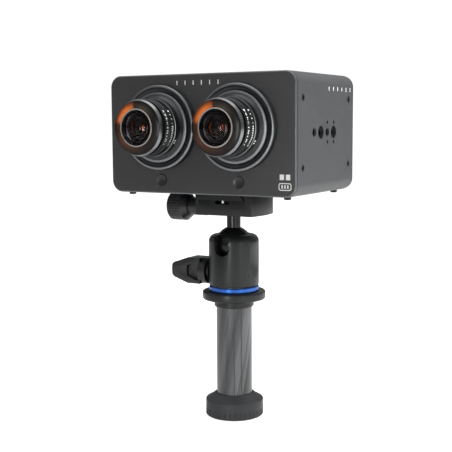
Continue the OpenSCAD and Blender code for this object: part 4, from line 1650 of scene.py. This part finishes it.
    def glass(self) -> None:
        """The front dome, and the elements and cells that show through it."""
        edge = self.edge
        dome_radius = (self.glass_radius**2 + self.dome_rise**2) / (2 * self.dome_rise)
        half = math.asin(self.glass_radius / dome_radius)
        outside = []
        for i in range(16, -1, -1):
            turn = half * i / 16
            height = edge + self.dome_rise - dome_radius * (1 - math.cos(turn))
            outside.append((dome_radius * math.sin(turn), height))
        inside = [(radius * 0.93, height - self.dome_wall) for radius, height in reversed(outside)]
        dome = turned(outside + inside, self.centre)
        piece(f"front_dome_{self.side}", dome, "camera", CLEAR, [f"front_glass_{self.side}"], 60.0)
        cell = [
            (12.5, edge),
            (12.5, edge - 9),
            (0, edge - 9),
            (0, edge - 8),
            (7.4, edge - 8),
            (7.4, edge - 5.4),
            (9.4, edge - 5.0),
            (9.4, edge - 2.8),
            (11.6, edge - 2.2),
            (12.0, edge),
        ]
        piece(f"front_cell_{self.side}", turned(cell, self.centre, closed=False), "camera", DARK_CELL)
        # Blackened, and painted a shade lighter than the cell: faint grey rings in the dark that stand in for
        # the glints on the ring edges.
        painted_lip_glint = self.turned_finish("aluminium_blackened_lip", "#1e1b19", 0.5, 0.0)
        for number, (radius, depth) in enumerate(self.lips):
            lip = []
            for i in range(8):
                turn = math.pi * i / 4
                out, up = self.lip_radius * math.cos(turn), self.lip_radius * math.sin(turn)
                lip.append((radius + out, edge - depth + up))
            mesh = turned(lip, self.centre, steps=72)
            piece(f"cell_lip_{number}_{self.side}", mesh, "camera", painted_lip_glint)
        self.elements()

    def elements(self) -> None:
        """The three inner elements, whose coatings carry painted reflections: orange and violet-grey glints
        and pale highlights.
        """
        # Painted reflections: violet-grey above the middle, dim orange at the upper left, and a pale
        # highlight below.
        dark = (
            (0.0, "#15100e"),
            (0.17, "#1a1513"),
            (0.22, "#4d4a55"),
            (0.28, "#4d4a55"),
            (0.33, "#1a1513"),
            (0.42, "#4a2412"),
            (0.5, "#15100e"),
            (0.7, "#15100e"),
            (0.75, "#4a4541"),
            (0.8, "#15100e"),
            (1.0, "#15100e"),
        )
        # Painted reflections: orange glints at the right and at the left.
        warm = (
            (0.0, "#e06a34"),
            (0.05, "#a84a20"),
            (0.11, "#171110"),
            (0.37, "#171110"),
            (0.43, "#b85528"),
            (0.5, "#f07838"),
            (0.57, "#9c4420"),
            (0.64, "#171110"),
            (0.92, "#171110"),
            (1.0, "#e06a34"),
        )
        # Painted reflections: violet-grey above the middle and a pale highlight below.
        pale = (
            (0.0, "#171316"),
            (0.2, "#3d3a42"),
            (0.3, "#171316"),
            (0.7, "#171316"),
            (0.75, "#5a554f"),
            (0.8, "#171316"),
            (1.0, "#171316"),
        )
        self.element("second", 8.2, self.edge - 3.5, 1.6, dark)
        self.element("third", 6.0, self.edge - 2.4, 1.5, warm)
        self.element("fourth", 4.0, self.edge - 1.0, 1.0, pale)

    def element(
        self, which: str, radius: float, base: float, rise: float, stops: tuple[tuple[float, str], ...]
    ) -> None:
        """One inner element, as a coated dome.

        Args:
            which: Its place in the stack.
            radius: Its radius.
            base: Height of its edge.
            rise: How far its middle stands above its edge.
            stops: The painted reflection colours round its coating.
        """
        arc = [(radius * i / 10, base + rise * (1 - (i / 10) ** 2)) for i in range(10, -1, -1)]
        # Coated glass over a black cell: dark, with a sharp shine, and painted glints and highlights in the
        # colours round it.
        finish = PaintedReflectionFinish(
            f"optical_coating_{which}_element_{self.side}",
            "#15100e",
            0.2,
            metallic=0.3,
            coat=0.5,
            grain_mm=1.5,
            relief_mm=0.0005,
            mottle=0.05,
            centre=tuple(self.centre),
            stops=stops,
        )
        mesh = turned(arc + [(0, base - 1.0), (radius, base - 1.0)], self.centre)
        piece(f"{which}_element_{self.side}", mesh, "camera", finish, sharp_deg=50.0)

    def scales(self) -> None:
        """White figures on the focus and aperture rings, the fixed index marks, and the grip's ribs."""
        step = math.radians(self.figure_step_deg)
        for body, texts in (("focus", self.distances), ("aperture", self.stops)):
            low, high = self.height_of(f"{body}_ring")
            figures = grown(
                Trees.figures(FILLED, texts),
                radius=(self.radius_of(f"{body}_ring") + 0.01) * MM,
                first=-(len(texts) // 2) * step,
                step=step,
                height=self.figure_height * MM,
                thickness=self.figure_thickness * MM,
                centre=self.centre - Vector((0, (low + high) / 2, 0)) * MM,
            )
            piece(f"{body}_figures_{self.side}", figures, f"{body}_{self.side}", sharp_deg=60.0)
        low, _ = self.height_of("focus_ring")
        index = grown(
            Trees.fan(FILLED),
            count=2,
            radius=(self.index - self.index_sunk) * MM,
            first=math.radians(self.index_first_deg),
            step=math.radians(self.index_step_deg),
            size=Vector(self.index_mark) * MM,
            centre=self.centre - Vector((0, low - self.index_drop, 0)) * MM,
        )
        piece(f"index_marks_{self.side}", index, "camera")
        self.grips()

    def grips(self) -> None:
        """Fine ribs on the focus ring, in arcs clear of the figures."""
        low, high = self.height_of("focus_ring")
        arcs = [
            grown(
                Trees.fan(SCALE_BLACK),
                count=self.rib_count,
                radius=(self.radius_of("focus_ring") - 0.05) * MM,
                first=math.radians(first),
                step=math.radians(self.rib_step_deg),
                size=Vector(self.rib) * MM,
                centre=self.centre - Vector((0, (low + high) / 2, 0)) * MM,
            )
            for first in self.rib_arcs_deg
        ]
        piece(f"focus_grip_{self.side}", joined(arcs), f"focus_{self.side}")


# ------------------------------------------------------------------ clamp, head and pole


@dataclass
class Support:
    """The clamp, ball head and pole top: CAD shapes with their edges broken as the real ones are.

    Widths are in millimetres.
    """

    def build(self) -> None:
        """Builds each softened piece."""
        for node, body, width, finish in (
            ("lock_lever", "lock_knob", 1.1, KNOB),
            ("clamp_body", "ball", 0.45, SATIN),
            ("moving_jaw", "jaw", 0.4, SATIN),
            ("ball_housing", "head", 0.4, SATIN),
            ("base_disc", "pole", 0.4, SATIN),
            ("twist_collar", "lock_collar", 0.3, GRIP),
        ):
            piece(f"{node}_softened", softened(node, width), body, finish, [node])


# ------------------------------------------------------------------ studio


@dataclass(frozen=True)
class SoftLight:
    """One rectangular light. Lengths are in metres, and power is in watts.

    Attributes:
        name: Its name.
        place: Where its middle is.
        width: Its width.
        height: Its height.
        power: Its power.
        mirrored: Whether glossy surfaces mirror it.
    """

    name: str
    place: tuple[float, float, float]
    width: float
    height: float
    power: float
    mirrored: bool

    def build(self, target: Vector) -> None:
        """Adds the light to the scene, turned towards a target.

        Args:
            target: The place that it faces.
        """
        lamp = bpy.data.lights.new(self.name, "AREA")
        lamp.shape, lamp.energy = "RECTANGLE", self.power
        lamp.size, lamp.size_y = self.width, self.height
        holder = bpy.data.objects.new(self.name, lamp)
        holder.location = self.place
        holder.rotation_euler = (target - Vector(self.place)).to_track_quat("-Z", "Y").to_euler()
        holder.visible_glossy = self.mirrored
        bpy.context.scene.collection.objects.link(holder)


LIGHTS = (
    SoftLight("softbox_right", (1.0, 0.15, 0.9), 1.5, 1.2, 64.0, False),
    SoftLight("softbox_top", (0.0, -0.1, 1.25), 1.0, 1.0, 6.0, True),
    SoftLight("softbox_left", (-0.95, -0.75, 0.5), 0.3, 0.9, 7.0, False),
    SoftLight("strip_right", (0.8, -0.42, 0.12), 0.2, 0.5, 0.6, True),
    SoftLight("strip_front", (0.08, -0.95, 0.12), 0.14, 0.45, 3.2, True),
)


@dataclass
class Studio:
    """The floor, the white room, the soft lights and the camera.

    Lengths are in metres, apart from the camera's own, and angles are in degrees.
    """

    floor_size: float = 30.0
    floor_gap: float = 0.0005
    paper: str = "#b8b8b8"
    paper_glow: float = 0.8
    backdrop: float = 1.05
    eye_level: float = 0.12
    overhead: float = 0.7
    brightening: tuple[float, float] = (0.05, 0.75)
    target: tuple[float, float, float] = (0.0, 0.0, 0.17)
    lens_mm: float = 74.47
    sensor_mm: float = 36.0
    clip_start: float = 0.01
    azimuth: float = 29.858
    elevation: float = 6.292
    roll: float = -0.35
    place: tuple[float, float, float] = (0.35397, -0.62868, 0.22874)

    def build(self) -> None:
        """Builds everything that isn't part of the object."""
        self.floor()
        self.surroundings()
        for light in LIGHTS:
            light.build(Vector(self.target))
        self.camera()

    def floor(self) -> None:
        """A plain pale floor under the pole's foot, that glows a little and is clear from below."""
        work = bmesh.new()
        bmesh.ops.create_grid(work, x_segments=2, y_segments=2, size=self.floor_size)
        for corner in work.verts:
            corner.co.z = CAD_BOX[0].z - self.floor_gap
        sheet = bpy.data.meshes.new("floor")
        work.to_mesh(sheet)
        work.free()
        ground = bpy.data.objects.new("floor", sheet)
        material = bpy.data.materials.new("light_table_white")
        material.use_nodes = True
        tree = material.node_tree
        tree.nodes.clear()
        paper = add(tree, "ShaderNodeBsdfDiffuse", {"Color": linear(self.paper)})
        lit = add(tree, "ShaderNodeEmission", {"Strength": self.paper_glow})
        bright = add(tree, "ShaderNodeAddShader", {0: paper.outputs[0], 1: lit.outputs[0]})
        sight = add(tree, "ShaderNodeLightPath").outputs["Is Camera Ray"]
        above = add(tree, "ShaderNodeMixShader", {0: sight, 1: paper.outputs[0], 2: bright.outputs[0]})
        clear = add(tree, "ShaderNodeBsdfTransparent")
        under = add(tree, "ShaderNodeNewGeometry").outputs["Backfacing"]
        both = add(tree, "ShaderNodeMixShader", {0: under, 1: above.outputs[0], 2: clear.outputs[0]})
        add(tree, "ShaderNodeOutputMaterial", {"Surface": both.outputs[0]})
        ground.data.materials.append(material)
        bpy.context.scene.collection.objects.link(ground)

    def surroundings(self) -> None:
        """A white room, bright overhead and dim at eye level, so that metal has something to mirror."""
        world = bpy.data.worlds.new("white_room")
        bpy.context.scene.world = world
        world.use_nodes = True
        tree = world.node_tree
        tree.nodes.clear()
        seen = add(tree, "ShaderNodeBackground", {"Color": linear("#ffffff"), "Strength": self.backdrop})
        ray = add(tree, "ShaderNodeTexCoord").outputs["Generated"]
        up = add(tree, "ShaderNodeSeparateXYZ", {0: ray}).outputs[2]
        lowest, highest = self.brightening
        glow = add(
            tree,
            "ShaderNodeMapRange",
            {"Value": up, 1: lowest, 2: highest, 3: self.eye_level, 4: self.overhead},
        )
        light = add(tree, "ShaderNodeBackground", {"Color": linear("#ffffff"), "Strength": glow.outputs[0]})
        sight = add(tree, "ShaderNodeLightPath").outputs["Is Camera Ray"]
        mixed = add(tree, "ShaderNodeMixShader", {0: sight, 1: light.outputs[0], 2: seen.outputs[0]})
        add(tree, "ShaderNodeOutputWorld", {"Surface": mixed.outputs[0]})
        bpy.context.scene.view_settings.view_transform = "Standard"

    def camera(self) -> None:
        """The camera, at its place and angle."""
        data = bpy.data.cameras.new("view")
        data.lens, data.sensor_width, data.clip_start = self.lens_mm, self.sensor_mm, self.clip_start
        azimuth, elevation, roll = (math.radians(a) for a in (self.azimuth, self.elevation, self.roll))
        level = Vector((math.cos(azimuth), math.sin(azimuth), 0))
        forward = Vector((-math.sin(azimuth), math.cos(azimuth), 0))
        ahead = forward * math.cos(elevation) - Vector((0, 0, math.sin(elevation)))
        upward = level.cross(ahead)
        right = level * math.cos(roll) + upward * math.sin(roll)
        top = upward * math.cos(roll) - level * math.sin(roll)
        made = bpy.data.objects.new("view", data)
        turn = Matrix((right, top, -ahead)).transposed().to_4x4()
        made.matrix_world = Matrix.Translation(self.place) @ turn
        bpy.context.scene.collection.objects.link(made)
        bpy.context.scene.camera = made


def main() -> None:
    """Dresses the CAD nodes, builds every sub-assembly, and sets the scene."""
    logging.basicConfig(level=logging.INFO, format="%(name)s: %(message)s")
    Studio().build()
    for finish, nodes in DRESS.items():
        for node in nodes:
            dress(node, finish)
    Case().build()
    for side in ("left", "right"):
        FisheyeLens(side).build()
    Support().build()


if __name__ == "__main__":
    main()
